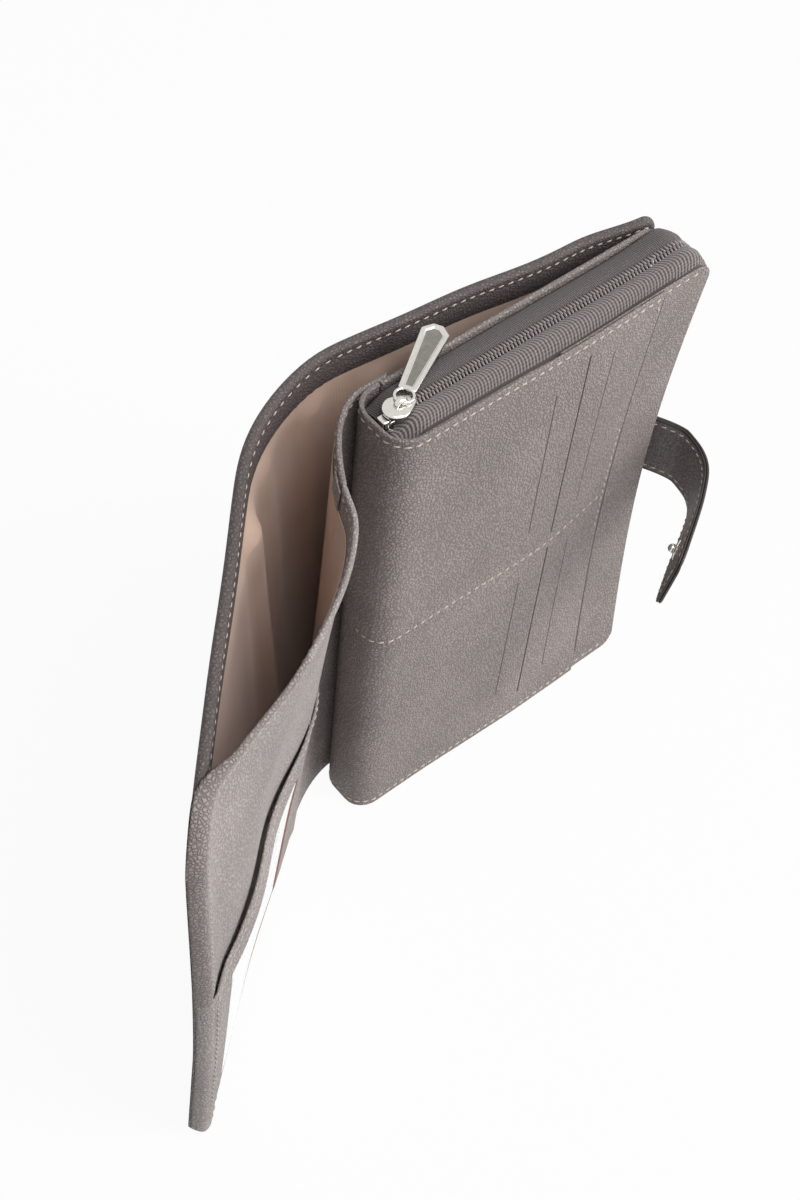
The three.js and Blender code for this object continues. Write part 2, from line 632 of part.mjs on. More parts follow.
// Strap: a tail sewn in behind the block, and a tab of two leathers that bends at the zip side
const strapRows = (...corner) => rowsBetween(STRAP_LOW, STRAP_LOW + STRAP_WIDTH, STRAP_ROWS, ...corner);
const tailDepth = BLOCK_DEPTH + SEAM_GAP + STRAP_THICKNESS / 2;
const tailBend = point(-BACK_INSET, tailDepth);
const tailPath = path(
  line(point(-STRAP_TAIL, tailDepth), tailBend),
  new THREE.CubicBezierCurve(
    tailBend,
    point(STRAP_ROOM_BACK, tailDepth),
    point(STRAP_HINGE.x, STRAP_ROOM_SIDE),
    point(STRAP_HINGE.x, STRAP_HINGE.y - STRAP_PAST_HINGE),
  ),
);
const tabRoot = point(STRAP_HINGE.x, STRAP_HINGE.y - STRAP_FROM_HINGE);
const tabBends = [...STRAP_BENDS, STRAP_TIP].map(([x, y]) => point(x, y));
const tabPath = path(new THREE.SplineCurve([tabRoot, ...tabBends]));
const tabLength = tabPath.getLength();
const tabCorner = [tabLength, STRAP_TIP_CORNER, false, true];
const tabColumns = crowded(STRAP_COLUMNS, ...tabCorner);
const tabRows = strapRows(...tabCorner);
const outerOut = (STRAP_THICKNESS - STRAP_OUTER) / 2;
const innerOut = (STRAP_INNER - STRAP_THICKNESS) / 2;
add('strap_tail', sheet(upright(tailPath), even(STRAP_COLUMNS), strapRows(), STRAP_THICKNESS), leather);
add('strap_tab', sheet(upright(tabPath), tabColumns, tabRows, STRAP_OUTER, outerOut), leather);
add('strap_tab_lining', sheet(upright(tabPath), tabColumns, tabRows, STRAP_INNER, innerOut), leather);

/** A turned piece from a half profile of radius and height pairs. */
function turned(profile) {
  const points = profile.map(([radius, height]) => point(radius, height));
  return new THREE.LatheGeometry(points, TURNED_STEPS);
}

/** Sets a turned piece on a plan point of a sheet, standing out along a plan direction. */
function setOn(mesh, place, direction, distance, z) {
  const out = new THREE.Vector3(direction.x, direction.y, 0);
  mesh.position.set(place.x, place.y, z).addScaledVector(out, distance);
  mesh.quaternion.setFromUnitVectors(new THREE.Vector3(0, 1, 0), out);
}
const strapMiddle = STRAP_LOW + STRAP_WIDTH / 2;
const ball = STUD_BALL / 2;
const neck = STUD_NECK / 2;
const ballCentre = RIVET_PLATE + Math.sqrt(ball ** 2 - neck ** 2);
const neckAngle = Math.asin(neck / ball);
const ballProfile = even(BLOCK_ROWS).map(share => {
  const angle = between(neckAngle, Math.PI, share);
  return [ball * Math.sin(angle), ballCentre - ball * Math.cos(angle)];
});
const studProfile = [
  [0, 0],
  [STUD_FLANGE / 2, 0],
  [STUD_FLANGE / 2, RIVET_PLATE],
  [neck, RIVET_PLATE],
  ...ballProfile.slice(1, -1),
  [0, ballCentre + ball],
];
const capProfile = [
  [0, 0],
  [STUD_CAP / 2, 0],
  [STUD_CAP / 2, RIVET_PLATE],
  [CAP_CROWN / 2, CAP_HEIGHT],
  [0, CAP_HEIGHT],
];

/** Profile of a ring with a rounded-off outer shoulder. */
function ring(outer, hole, height) {
  const shoulder = RING_SHOULDER * height;
  return [
    [hole / 2, 0],
    [outer / 2, 0],
    [outer / 2, shoulder],
    [outer / 2 - height + shoulder, height],
    [hole / 2, height],
    [hole / 2, 0],
  ];
}
const studShare = 1 - STUD_FROM_TIP / tabLength;
const studPlace = tabPath.getPoint(studShare);
const strapOut = normalOf(upright(tabPath), studShare, 0);
const strapIn = strapOut.clone().negate();
const onStrap = STRAP_THICKNESS / 2 + SEAM_GAP;
const stud = add('snap_stud', turned(studProfile), nickel);
const cap = add('stud_cap', turned(capProfile), nickel);
setOn(stud, studPlace, strapIn, onStrap, strapMiddle);
setOn(cap, studPlace, strapOut, onStrap, strapMiddle);

const socketShare = 1 - SOCKET_FROM_EDGE / flapRun;
const socketPlace = coverFlap(socketShare, strapMiddle);
const flapInside = normalOf(coverFlap, socketShare, strapMiddle);
const flapOutside = flapInside.clone().negate();
const onCover = COVER_LEATHER / 2 + SEAM_GAP;
const onLining = liningIn + LINING / 2 + SEAM_GAP;
const socket = add('snap_socket', turned(ring(SOCKET_OUTER, SOCKET_HOLE, SOCKET_HEIGHT)), nickel);
const eyelet = add('socket_eyelet', turned(ring(EYELET_OUTER, EYELET_HOLE, RIVET_PLATE)), nickel);
setOn(socket, socketPlace, flapOutside, onCover, strapMiddle);
setOn(eyelet, socketPlace, flapInside, onLining, strapMiddle);

// The middle of the footprint on the floor is the part's origin.
const box = new THREE.Box3().setFromObject(drawing);
const centre = box.getCenter(new THREE.Vector3());
drawing.position.set(-centre.x, -centre.y, -box.min.z);
const wallet = new THREE.Group();
wallet.add(drawing);

export default wallet;
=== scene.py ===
"""Travel wallet standing open on its long edge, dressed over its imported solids.

A zip-round block with card slots stands at the right. One cover runs behind it and round a soft spine to a
flap. Cover and inner leather make a long note pocket, the flap carries an ID pocket, and a strap with a
ball snap comes round the zip side. Sizes are millimetres from the block's front right foot.
"""

from __future__ import annotations

import logging
import math
from dataclasses import dataclass
from enum import Enum
from functools import partial
from typing import Callable, Iterable, Sequence

import bpy
import numpy as np
from bpy.types import Material, Node
from mathutils import Matrix, Vector

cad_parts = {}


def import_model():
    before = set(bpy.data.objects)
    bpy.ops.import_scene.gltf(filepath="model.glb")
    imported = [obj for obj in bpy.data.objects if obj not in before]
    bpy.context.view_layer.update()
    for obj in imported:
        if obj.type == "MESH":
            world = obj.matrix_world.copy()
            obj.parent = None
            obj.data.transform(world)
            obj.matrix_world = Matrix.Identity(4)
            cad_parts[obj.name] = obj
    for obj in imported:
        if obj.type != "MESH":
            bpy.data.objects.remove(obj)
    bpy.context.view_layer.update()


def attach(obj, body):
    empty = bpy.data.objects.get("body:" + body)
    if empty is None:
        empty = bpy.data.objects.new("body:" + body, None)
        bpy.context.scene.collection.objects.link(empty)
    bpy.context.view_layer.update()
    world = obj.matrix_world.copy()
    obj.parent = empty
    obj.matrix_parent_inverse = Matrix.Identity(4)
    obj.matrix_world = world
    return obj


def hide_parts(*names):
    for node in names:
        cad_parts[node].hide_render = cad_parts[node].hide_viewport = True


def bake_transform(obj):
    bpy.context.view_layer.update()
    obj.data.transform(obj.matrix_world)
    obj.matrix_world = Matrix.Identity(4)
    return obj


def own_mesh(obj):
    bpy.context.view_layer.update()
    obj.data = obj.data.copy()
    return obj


LOG = logging.getLogger("wallet")
MM = 0.001
SMOOTH_ANGLE = math.radians(40)
SHARP_ANGLE = math.radians(30)
LEAST_STEP = 0.035
Array = np.ndarray
Pair = tuple[float, float]
Triple = tuple[float, float, float]
Piece = bpy.types.Object
Adder = Callable[..., Node]
Relief = Callable[[Array, Array], Array]
Profile = Sequence[Pair]


class Side(Enum):
    """The two faces of a sheet, seen the way that it runs."""

    LEFT = 1
    RIGHT = -1


@dataclass(frozen=True)
class Drawing:
    """Sizes that several sub-assemblies share."""

    height: float = 190.0
    block_width: float = 121.0
    block_depth: float = 22.0
    flap_length: float = 121.0
    flap_angle: float = 37.0
    fold_axis: Pair = (-125.0, 7.7)
    foot_from_origin: Pair = (109.489, 9.466)
    first_mouth: float = 61.0
    press_depth: float = 6.0
    press_reach: float = 18.0
    fold_in: float = 2.6
    fold_back_head: float = 0.3
    fold_back_foot: float = 1.9
    fold_back_run: Pair = (20.0, 100.0)
    front_leaf: Pair = (-1.0, 11.0)
    foot_bow: float = 1.8
    foot_bow_fade: Pair = (180.0, 100.0)
    middle_bow: float = 1.2
    middle_bow_at: float = 80.0
    middle_bow_width: float = 45.0
    bow_from: float = 60.0

    @property
    def along_flap(self) -> Array:
        """Plan direction from the fold axis to the flap's free edge."""
        turn = math.radians(self.flap_angle)
        return np.array([-math.cos(turn), -math.sin(turn)])

    @property
    def into_flap(self) -> Array:
        """Plan direction from the flap towards the block's side."""
        turn = math.radians(self.flap_angle)
        return np.array([math.sin(turn), -math.cos(turn)])

    def on_flap(self, along: float, inward: float) -> Array:
        """Plan point in the flap's own frame."""
        return np.array(self.fold_axis) + along * self.along_flap + inward * self.into_flap

    def along(self, points: Array) -> Array:
        """Distances of points from the fold axis towards the flap's free edge."""
        return (points[..., :2] - np.array(self.fold_axis)) @ self.along_flap

    def to_part(self, points: Array) -> Array:
        """Millimetres of the drawing as metres in the part's frame."""
        shift = np.array([*self.foot_from_origin, 0.0])
        return (np.asarray(points, float) + shift) * MM

    def spot(self, x: float, y: float, z: float = 0.0) -> Triple:
        """One point of the drawing in the part's frame."""
        return tuple(float(value) for value in self.to_part(np.array([[x, y, z]]))[0])

    def pressed(self, points: Array) -> Array:
        """Gives way at half height on the zip side, most at the front, and draws the soft fold end in.

        Args:
            points: rows of x, y and z.

        Returns:
            The moved points.
        """
        moved = points.copy()
        high = np.clip(points[..., 2] / self.height, 0.0, 1.0)
        towards_zip = smoothstep(points[..., 0], -self.first_mouth, 0.0)
        room = np.maximum(0.0, 1.0 - points[..., 1] / self.press_reach)
        moved[..., 1] += self.press_depth * towards_zip * np.sin(np.pi * high) * room
        front, behind = self.front_leaf
        on_leaf = np.clip(1.0 - (points[..., 1] - front) / (behind - front), 0.0, 1.0)
        back = self.fold_back_foot + (self.fold_back_head - self.fold_back_foot) * high
        moved[..., 1] += back * on_leaf * smoothstep(-points[..., 0], *self.fold_back_run)
        moved[..., 0] += self.fold_in * smoothstep(-points[..., 0], self.first_mouth, self.block_width)
        return moved

    def bowed(self, points: Array) -> Array:
        """Bows the flap's free edge towards the block's side, except near its head.

        Args:
            points: rows of x, y and z.

        Returns:
            The moved points.
        """
        moved = points.copy()
        high = points[..., 2]
        bow = self.foot_bow * smoothstep(high, *self.foot_bow_fade)
        bow = bow + self.middle_bow * ridge(high, self.middle_bow_at, self.middle_bow_width)
        bow = bow * smoothstep(self.along(points), self.bow_from, self.flap_length)
        moved[..., :2] += bow[..., None] * self.into_flap
        return moved


DRAWING = Drawing()


def smoothstep(value: Array, start: float, end: float) -> Array:
    """Smooth change from 0 at start to 1 at end, which may be the smaller."""
    share = np.clip((np.asarray(value, float) - start) / (end - start), 0.0, 1.0)
    return share * share * (3.0 - 2.0 * share)


def ridge(value: Array, at: float, width: float) -> Array:
    """Soft ridge of height 1 at a place."""
    return np.exp(-(((np.asarray(value, float) - at) / width) ** 2))


def straight(start: Sequence[float], end: Sequence[float], steps: int = 40) -> Array:
    """Plan points along a straight run."""
    return np.linspace(np.asarray(start, float), np.asarray(end, float), steps + 1)


def curved(controls: Sequence[Sequence[float]], steps: int = 40) -> Array:
    """Plan points along a Bezier curve.

    Args:
        controls: its control points.
        steps: how many steps it is cut into.

    Returns:
        The points.
    """
    share = np.linspace(0.0, 1.0, steps + 1)[:, None]
    level = [np.asarray(place, float)[None, :] * np.ones_like(share) for place in controls]
    while len(level) > 1:
        level = [one * (1 - share) + two * share for one, two in zip(level, level[1:])]
    return level[0]


def through(places: Sequence[Sequence[float]], steps: int = 12) -> Array:
    """Plan points of a smooth curve through given places.

    Args:
        places: the places that it passes.
        steps: steps between two places.

    Returns:
        The points.
    """
    pins = [np.asarray(place, float) for place in places]
    pins = [2 * pins[0] - pins[1], *pins, 2 * pins[-1] - pins[-2]]
    runs = []
    for before, start, end, after in zip(pins, pins[1:], pins[2:], pins[3:]):
        runs.append(curved([start, start + (end - before) / 6, end - (after - start) / 6, end], steps))
    return joined(*runs)


def joined(*runs: Array) -> Array:
    """Runs of plan points as one line, with shared ends kept once."""
    return np.concatenate([runs[0], *[run[1:] for run in runs[1:]]])


def meeting(first: Array, second: Array) -> Array:
    """Where the ends of two straight runs meet if both are drawn on.

    Args:
        first: the first run's points.
        second: the second run's points.

    Returns:
        The plan point.
    """
    way, other = first[-1] - first[0], second[-1] - second[0]
    gap = second[0] - first[0]
    share = (gap[0] * other[1] - gap[1] * other[0]) / (way[0] * other[1] - way[1] * other[0])
    return first[0] + share * way


def unit(ways: Array) -> Array:
    """Directions at length 1."""
    return ways / np.linalg.norm(ways, axis=-1, keepdims=True)


def distances(line: Array) -> Array:
    """Distance of each point of a line from its start."""
    return np.concatenate([[0.0], np.cumsum(np.linalg.norm(np.diff(line, axis=0), axis=1))])


def on_line(line: Array, marks: Array, at: Array) -> Array:
    """Points of a line, or directions that belong to it, at given distances."""
    return np.stack([np.interp(at, marks, line[:, axis]) for axis in (0, 1)], axis=-1)


def even(line: Array, count: int) -> Array:
    """The same line with a number of points at equal distances."""
    marks = distances(line)
    return on_line(line, marks, np.linspace(0.0, marks[-1], count))


def graded(span: float, ends: Sequence[float], step: float) -> Array:
    """Places from 0 to a span that lie close together at both ends.

    Args:
        span: the whole length.
        ends: distances from each end.
        step: about how far apart the places between lie.

    Returns:
        The places.
    """
    near = np.array([place for place in ends if place < span / 2.2])
    inner = np.linspace(near[-1], span - near[-1], max(2, int((span - 2 * near[-1]) / step) + 1))
    return np.concatenate([near[:-1], inner, span - near[-2::-1]])


class Skin:
    """A surface ruled upright from a foot line to a rim line."""

    REACH = 0.6

    def __init__(self, foot: Array, rim: Array, moved: Callable[[Array], Array] | None = None) -> None:
        """Sets up the surface.

        Args:
            foot: plan points at the floor.
            rim: plan points at the top, as many.
            moved: a last change to its points, if it has one.
        """
        self.foot, self.rim, self.moved = foot, rim, moved
        self.marks = (distances(foot) + distances(rim)) / 2
        self.length = float(self.marks[-1])

    def point(self, along: Array, up: Array) -> Array:
        """Points at distances along and up.

        Args:
            along: distances along the surface.
            up: heights.

        Returns:
            Rows of x, y and z.
        """
        share = (up / DRAWING.height)[..., None]
        foot, rim = (on_line(edge, self.marks, along) for edge in (self.foot, self.rim))
        points = np.concatenate([foot * (1 - share) + rim * share, up[..., None]], axis=-1)
        return self.moved(points) if self.moved else points

    def frame(self, along: Array, up: Array) -> tuple[Array, Array, Array, Array]:
        """Points with their directions.

        Args:
            along: distances along the surface.
            up: heights.

        Returns:
            The points, and the unit directions along, up and to the left.
        """
        ahead = unit(self.point(along + self.REACH, up) - self.point(along - self.REACH, up))
        above = unit(self.point(along, up + self.REACH) - self.point(along, up - self.REACH))
        return self.point(along, up), ahead, above, unit(np.cross(above, ahead))


class ZipSkin(Skin):
    """The surface round the block's head, zip side and foot; up is the depth from the block's front."""

    def __init__(self, start: float, radius: float, sink: Relief, reach: Relief) -> None:
        """Sets up the route of the zip.

        Args:
            start: where it starts, from the fold end.
            radius: radius of the block's corners.
            sink: how deep it lies under the block's edge, by distance along and depth.
            reach: how far it comes forwards, by distance along and depth.
        """
        left, right = -DRAWING.block_width + start, -radius
        low, high = radius, DRAWING.height - radius
        turn = np.linspace(math.pi / 2, 0.0, 17)
        arc = np.stack([np.cos(turn), np.sin(turn)], axis=-1)
        foot_arc = np.stack([arc[::-1, 0], -arc[::-1, 1]], axis=-1)
        head = straight((left, DRAWING.height), (right, DRAWING.height))
        side = straight((0.0, high), (0.0, low))
        foot = straight((right, 0.0), (left, 0.0))
        round_head = np.array([right, high]) + radius * arc
        round_foot = np.array([right, low]) + radius * foot_arc
        self.route = joined(head, round_head, side, round_foot, foot)
        runs = [np.tile([0.0, 1.0], (len(head), 1)), arc, np.tile([1.0, 0.0], (len(side), 1)), foot_arc]
        self.out = joined(*runs, np.tile([0.0, -1.0], (len(foot), 1)))
        self.marks = distances(self.route)
        self.length = float(self.marks[-1])
        self.sink, self.reach = sink, reach

    def point(self, along: Array, up: Array) -> Array:
        """Points at distances along the zip and depths from the block's front."""
        return self.raised(along, up - self.reach(along, up), -self.sink(along, up))

    def raised(self, along: Array, depth: Array, rise: Array) -> Array:
        """Points of the block at distances along the zip.

        Args:
            along: distances along the zip.
            depth: depths from the block's front.
            rise: heights over the block's edge.

        Returns:
            Rows of x, y and z.
        """
        flat = on_line(self.route, self.marks, along)
        flat = flat + rise[..., None] * on_line(self.out, self.marks, along)
        return DRAWING.pressed(np.stack([flat[..., 0], depth, flat[..., 1]], axis=-1))


@dataclass
class Sheet:
    """A soft sheet on a skin, with rounded edges.

    left and right are its faces' distances from the skin, and a corner pair gives the radii at foot and head.
    A window is given by two distances along, and by its sill and head as shares of the sheet's height.
    """

    skin: Skin
    low: float
    high: float
    left: float
    right: float
    start: float = 0.0
    end: float | None = None
    corner_start: Pair = (0.0, 0.0)
    corner_end: Pair = (0.0, 0.0)
    edge: float = 0.7
    spacing: float = 3.0
    columns: Sequence[float] = ()
    rows: Sequence[float] = ()
    lift: Relief | None = None
    left_relief: Relief | None = None
    right_relief: Relief | None = None
    window: tuple[float, float, float, float] | None = None

    NEAR = (0.0, 0.05, 0.2, 0.45, 0.8, 1.3, 2.0, 3.0, 4.2, 5.8, 7.4, 8.2, 9.6)
    ROUND = (0.0, 0.02, 0.06, 0.13, 0.22, 0.34, 0.48, 0.65, 0.82, 1.0)
    ROW_STRETCH = 1.3
    LEAST_BEND = 0.2
    SHUT = 1e-6

    def stop(self) -> float:
        """Distance along the skin at which the sheet ends."""
        return self.skin.length if self.end is None else self.end

    def cut(self, along: Array, head: bool) -> Array:
        """How far the rounded corners cut into the height.

        Args:
            along: distances along the skin.
            head: whether the corners at the head are meant, or those at the foot.

        Returns:
            The cuts.
        """
        cut = np.zeros_like(along)
        ahead, behind = along - self.start, self.stop() - along
        for reach, corner in ((ahead, self.corner_start), (behind, self.corner_end)):
            radius = corner[head]
            if radius > 0:
                inner = np.clip(radius - reach, 0.0, radius)
                cut = np.maximum(cut, radius - np.sqrt(radius**2 - inner**2))
        return cut

    def bend(self, inset: float, end: bool, head: bool) -> list[Pair]:
        """Places round a corner at a distance from the edge, from the head or foot to the side.

        Args:
            inset: the distance from the edge.
            head: whether it is at the head, or at the foot.

        Returns:
            Pairs of distances along and up.
        """
        radius = (self.corner_end if end else self.corner_start)[head]
        across, rise = (1.0 if end else -1.0), (1.0 if head else -1.0)
        side = self.stop() if end else self.start
        level = self.high if head else self.low
        small = max(radius - inset, self.LEAST_BEND)
        centre = (side - across * max(radius, inset), level - rise * max(radius, inset))
        return [
            (centre[0] + across * small * math.cos(turn), centre[1] + rise * small * math.sin(turn))
            for turn in np.linspace(math.pi / 2, 0.0, 8)
        ]

    def past_window(self, along: Array, up: Array) -> Array:
        """Distance in the sheet from its window's edge, less than 0 inside the window.

        Args:
            along: distances along the skin.
            up: heights.

        Returns:
            The distances.
        """
        first, last, sill, head = self.window
        tall = self.high - self.low
        rise = (up - self.low) / tall
        beside = np.maximum(first - along, along - last)
        over = np.maximum(sill - rise, rise - head) * tall
        return np.where((beside > 0) & (over > 0), np.hypot(beside, over), np.maximum(beside, over))

    def edge_distance(self, along: Array, up: Array) -> Array:
        """Distance in the sheet from its nearest edge.

        Args:
            along: distances along the skin.
            up: heights.

        Returns:
            The distances.
        """
        ahead, behind = along - self.start, self.stop() - along
        above, below = self.high - up, up - self.low
        near = np.minimum(np.minimum(ahead, behind), np.minimum(above, below))
        for reach, corner in ((ahead, self.corner_start), (behind, self.corner_end)):
            for rise, radius in ((below, corner[0]), (above, corner[1])):
                inside = (reach < radius) & (rise < radius)
                near = np.where(inside, radius - np.hypot(radius - reach, radius - rise), near)
        if self.window:
            near = np.minimum(near, self.past_window(along, up))
        return np.maximum(near, 0.0)

    def faces_at(self, along: Array, up: Array) -> tuple[Array, Array]:
        """Distances of the left and right faces from the skin.

        Args:
            along: distances along the skin.
            up: heights.

        Returns:
            Both distances.
        """
        near = np.clip(self.edge_distance(along, up) / self.edge, 0.0, 1.0)
        swell = np.sqrt(1.0 - (1.0 - near) ** 2)
        middle, half = (self.left + self.right) / 2, (self.left - self.right) / 2
        if self.lift:
            middle = middle + self.lift(along, up)
        left = half + (self.left_relief(along, up) if self.left_relief else 0.0)
        right = half + (self.right_relief(along, up) if self.right_relief else 0.0)
        return middle + left * swell, middle - right * swell

    def grid(self) -> tuple[Array, Array]:
        """Places the mesh's corners close together at edges, corners, window and given lines.

        Returns:
            Distances along and up of every corner of the mesh.
        """
        span, tall = self.stop() - self.start, self.high - self.low
        places = list(graded(span, self.NEAR, self.spacing))
        for corner, flip in ((self.corner_start, False), (self.corner_end, True)):
            arc = [share * radius for radius in corner if radius > 0 for share in self.ROUND]
            places += [span - place if flip else place for place in arc]
        sides, levels = (self.window[:2], self.window[2:]) if self.window else ((), ())
        columns = [place - self.start for place in (*self.columns, *sides)]
        along = spaced([*places, *columns], columns) + self.start
        fixed = [share * tall for share in (*self.rows, *levels)]
        rises = graded(tall, self.NEAR, self.spacing * self.ROW_STRETCH)
        rows = spaced([*rises, *fixed], fixed) / tall
        foot = self.low + self.cut(along, False)[:, None]
        head = self.high - self.cut(along, True)[:, None]
        up = foot + rows[None, :] * (head - foot)
        return along[:, None] * np.ones_like(up), up

    def build(self, name: str) -> Piece:
        """Makes the sheet as one closed shell.

        Args:
            name: the piece's name.

        Returns:
            The new object.
        """
        along, up = self.grid()
        place, _, _, left = self.skin.frame(along, up)
        points = [(place + left * face[..., None]).reshape(-1, 3) for face in self.faces_at(along, up)]
        numbers = np.arange(along.size).reshape(along.shape)
        other = np.where(self.edge_distance(along, up) < self.SHUT, numbers, numbers + along.size)
        keep = np.ones((along.shape[0] - 1, along.shape[1] - 1), bool)
        if self.window:
            middle, level = ((grid[:-1, :-1] + grid[1:, 1:]) / 2 for grid in (along, up))
            keep &= self.past_window(middle, level) >= 0
        faces = []
        for grid, flip in ((numbers, False), (other, True)):
            ring = [grid[:-1, :-1], grid[:-1, 1:], grid[1:, 1:], grid[1:, :-1]]
            ring = ring[::-1] if flip else ring
            faces += np.stack(ring, axis=-1)[keep].tolist()
        flat = np.stack([along, up], axis=-1).reshape(-1, 2) * MM
        return new_object(name, np.concatenate(points), faces, np.concatenate([flat, flat]))


def spaced(places: Iterable[float], fixed: Sequence[float]) -> Array:
    """Sorted places with none too close together, keeping every fixed one.

    Args:
        places: all places.
        fixed: those that must stay.

    Returns:
        The places that are kept.
    """
    kept: list[float] = []
    held = {round(place, 6) for place in fixed}
    ordered = sorted({round(place, 6) for place in places})
    for place in ordered:
        if kept and place - kept[-1] < LEAST_STEP and place != ordered[-1]:
            if place in held and kept[-1] not in held and len(kept) > 1:
                kept[-1] = place
            elif place in held:
                kept.append(place)
            continue
        kept.append(place)
    return np.array(kept)


def linked(name: str, corners: list, edges: list, faces: list) -> Piece:
    """Makes a mesh object from corners in metres and links it to the scene.

    Args:
        name: the piece's name.
        corners: its corners.
        edges: its loose edges as corner numbers.
        faces: its faces as corner numbers.

    Returns:
        The new object.
    """
    mesh = bpy.data.meshes.new(name)
    mesh.from_pydata(corners, edges, faces)
    piece = bpy.data.objects.new(name, mesh)
    bpy.context.scene.collection.objects.link(piece)
    return piece


def new_object(name: str, points: Array, faces: Sequence, flat: Array | None = None) -> Piece:
    """Makes a smooth mesh object from points of the drawing.

    Args:
        name: the piece's name.
        points: its corners in millimetres.
        faces: its faces as corner numbers.
        flat: a UV place for each corner, if it has one.

    Returns:
        The new object.
    """
    used = np.zeros(len(points), bool)
    used[[corner for face in faces for corner in face]] = True
    numbers = np.cumsum(used) - 1
    rings = [list(dict.fromkeys(int(numbers[corner]) for corner in face)) for face in faces]
    rings = [ring for ring in rings if len(ring) > 2]
    piece = linked(name, DRAWING.to_part(points[used]).tolist(), [], rings)
    mesh = piece.data
    if flat is not None:
        layer = mesh.uv_layers.new(name="cut")
        corners = np.zeros(len(mesh.loops), np.int32)
        mesh.loops.foreach_get("vertex_index", corners)
        layer.data.foreach_set("uv", flat[used][corners].astype(np.float32).ravel())
    mesh.polygons.foreach_set("use_smooth", [True] * len(mesh.polygons))
    mesh.update()
    return piece


def only(piece: Piece, *others: Piece) -> None:
    """Selects one object or a few and makes the first active.

    Args:
        piece: the first object.
        others: the rest.
    """
    bpy.ops.object.select_all(action="DESELECT")
    for one in (piece, *others):
        one.select_set(True)
    bpy.context.view_layer.objects.active = piece


def added(add: Callable[..., set], name: str, **settings: object) -> Piece:
    """Adds a primitive with nothing else selected.

    Args:
        add: the operator that adds it.
        name: the object's name.
        settings: the operator's settings.

    Returns:
        The new object.
    """
    bpy.ops.object.select_all(action="DESELECT")
    add(**settings)
    piece = bpy.context.object
    piece.name = name
    bpy.ops.object.transform_apply(location=True, rotation=True, scale=True)
    return piece


def edit(piece: Piece, pick: Callable[[bpy.types.MeshPolygon], bool] | None = None) -> None:
    """Enters edit mode with faces selected.

    Args:
        piece: the object.
        pick: tells which faces; all are selected without it.
    """
    only(piece)
    bpy.ops.object.mode_set(mode="EDIT")
    bpy.ops.mesh.select_mode(type="FACE")
    bpy.ops.mesh.select_all(action="SELECT" if pick is None else "DESELECT")
    if pick is None:
        return
    leave()
    for face in piece.data.polygons:
        face.select = bool(pick(face))
    bpy.ops.object.mode_set(mode="EDIT")


def leave() -> None:
    """Goes back to object mode."""
    bpy.ops.object.mode_set(mode="OBJECT")


def shade(piece: Piece) -> None:
    """Shades a piece smooth but for its sharp edges."""
    only(piece)
    bpy.ops.object.shade_smooth_by_angle(angle=SMOOTH_ANGLE)


def soften(piece: Piece, width: float, steps: int = 3) -> None:
    """Rounds a piece's sharp edges and shades it smooth.

    Args:
        piece: the object.
        width: width of the rounding in millimetres.
        steps: steps across the rounding.
    """
    only(piece)
    bevel = piece.modifiers.new("rounding", "BEVEL")
    bevel.width, bevel.segments = width * MM, steps
    bevel.limit_method, bevel.angle_limit = "ANGLE", SHARP_ANGLE
    bpy.ops.object.modifier_apply(modifier="rounding")
    shade(piece)


def join(piece: Piece, *others: Piece) -> None:
    """Joins other objects into a piece."""
    only(piece, *others)
    bpy.ops.object.join()


def settle(piece: Piece, place: Sequence[float], turn: Matrix = Matrix.Identity(3)) -> None:
    """Moves a piece made at the origin to its place and applies the move.

    Args:
        piece: the object, in metres about the origin.
        place: the drawing's point that its origin goes to.
        turn: its rotation.
    """
    only(piece)
    piece.matrix_world = Matrix.Translation(DRAWING.spot(*place)) @ turn.to_4x4()
    bpy.ops.object.transform_apply(location=True, rotation=True, scale=True)


def turned(name: str, profile: Profile, place: Array, way: Array) -> Piece:
    """Spins a half profile into a round piece and sets it in place.

    Args:
        name: the piece's name.
        profile: pairs of radius and height in millimetres.
        place: where its foot stands, in the drawing.
        way: the direction it stands along.

    Returns:
        The new object.
    """
    corners = [(radius * MM, 0.0, height * MM) for radius, height in profile]
    piece = linked(name, corners, [(at, at + 1) for at in range(len(corners) - 1)], [])
    edit(piece)
    bpy.ops.mesh.spin(steps=40, angle=math.tau, center=(0, 0, 0), axis=(0, 0, 1))
    bpy.ops.mesh.select_all(action="SELECT")
    bpy.ops.mesh.remove_doubles(threshold=1e-6)
    bpy.ops.mesh.normals_make_consistent(inside=False)
    leave()
    settle(piece, place, Vector((0, 0, 1)).rotation_difference(Vector(way)).to_matrix())
    shade(piece)
    return piece


def bead(size: Triple, axis: str) -> tuple[Array, list[list[int]]]:
    """Models a small round form that is then copied many times.

    Args:
        size: its lengths along x, y and z in millimetres.
        axis: the axis about which it is turned, so that its poles are its ends.

    Returns:
        Its corners in millimetres and its faces as corner numbers.
    """
    form = added(bpy.ops.mesh.primitive_uv_sphere_add, "form", segments=8, ring_count=6, radius=0.5)
    edit(form)
    bpy.ops.transform.rotate(value=math.pi / 2, orient_axis=axis, center_override=(0, 0, 0))
    bpy.ops.transform.resize(value=size)
    leave()
    points = np.array([corner.co for corner in form.data.vertices], float)
    rings = [list(face.vertices) for face in form.data.polygons]
    bpy.data.objects.remove(form)
    return points, rings


def copied(name: str, copies: Array, rings: list[list[int]]) -> Piece:
    """Makes one piece of the copies of a form.

    Args:
        name: the piece's name.
        copies: the corners of each copy.
        rings: the form's faces.

    Returns:
        The new object.
    """
    count, size = copies.shape[:2]
    faces = [[at * size + corner for corner in ring] for at in range(count) for ring in rings]
    return new_object(name, copies.reshape(-1, 3), faces)


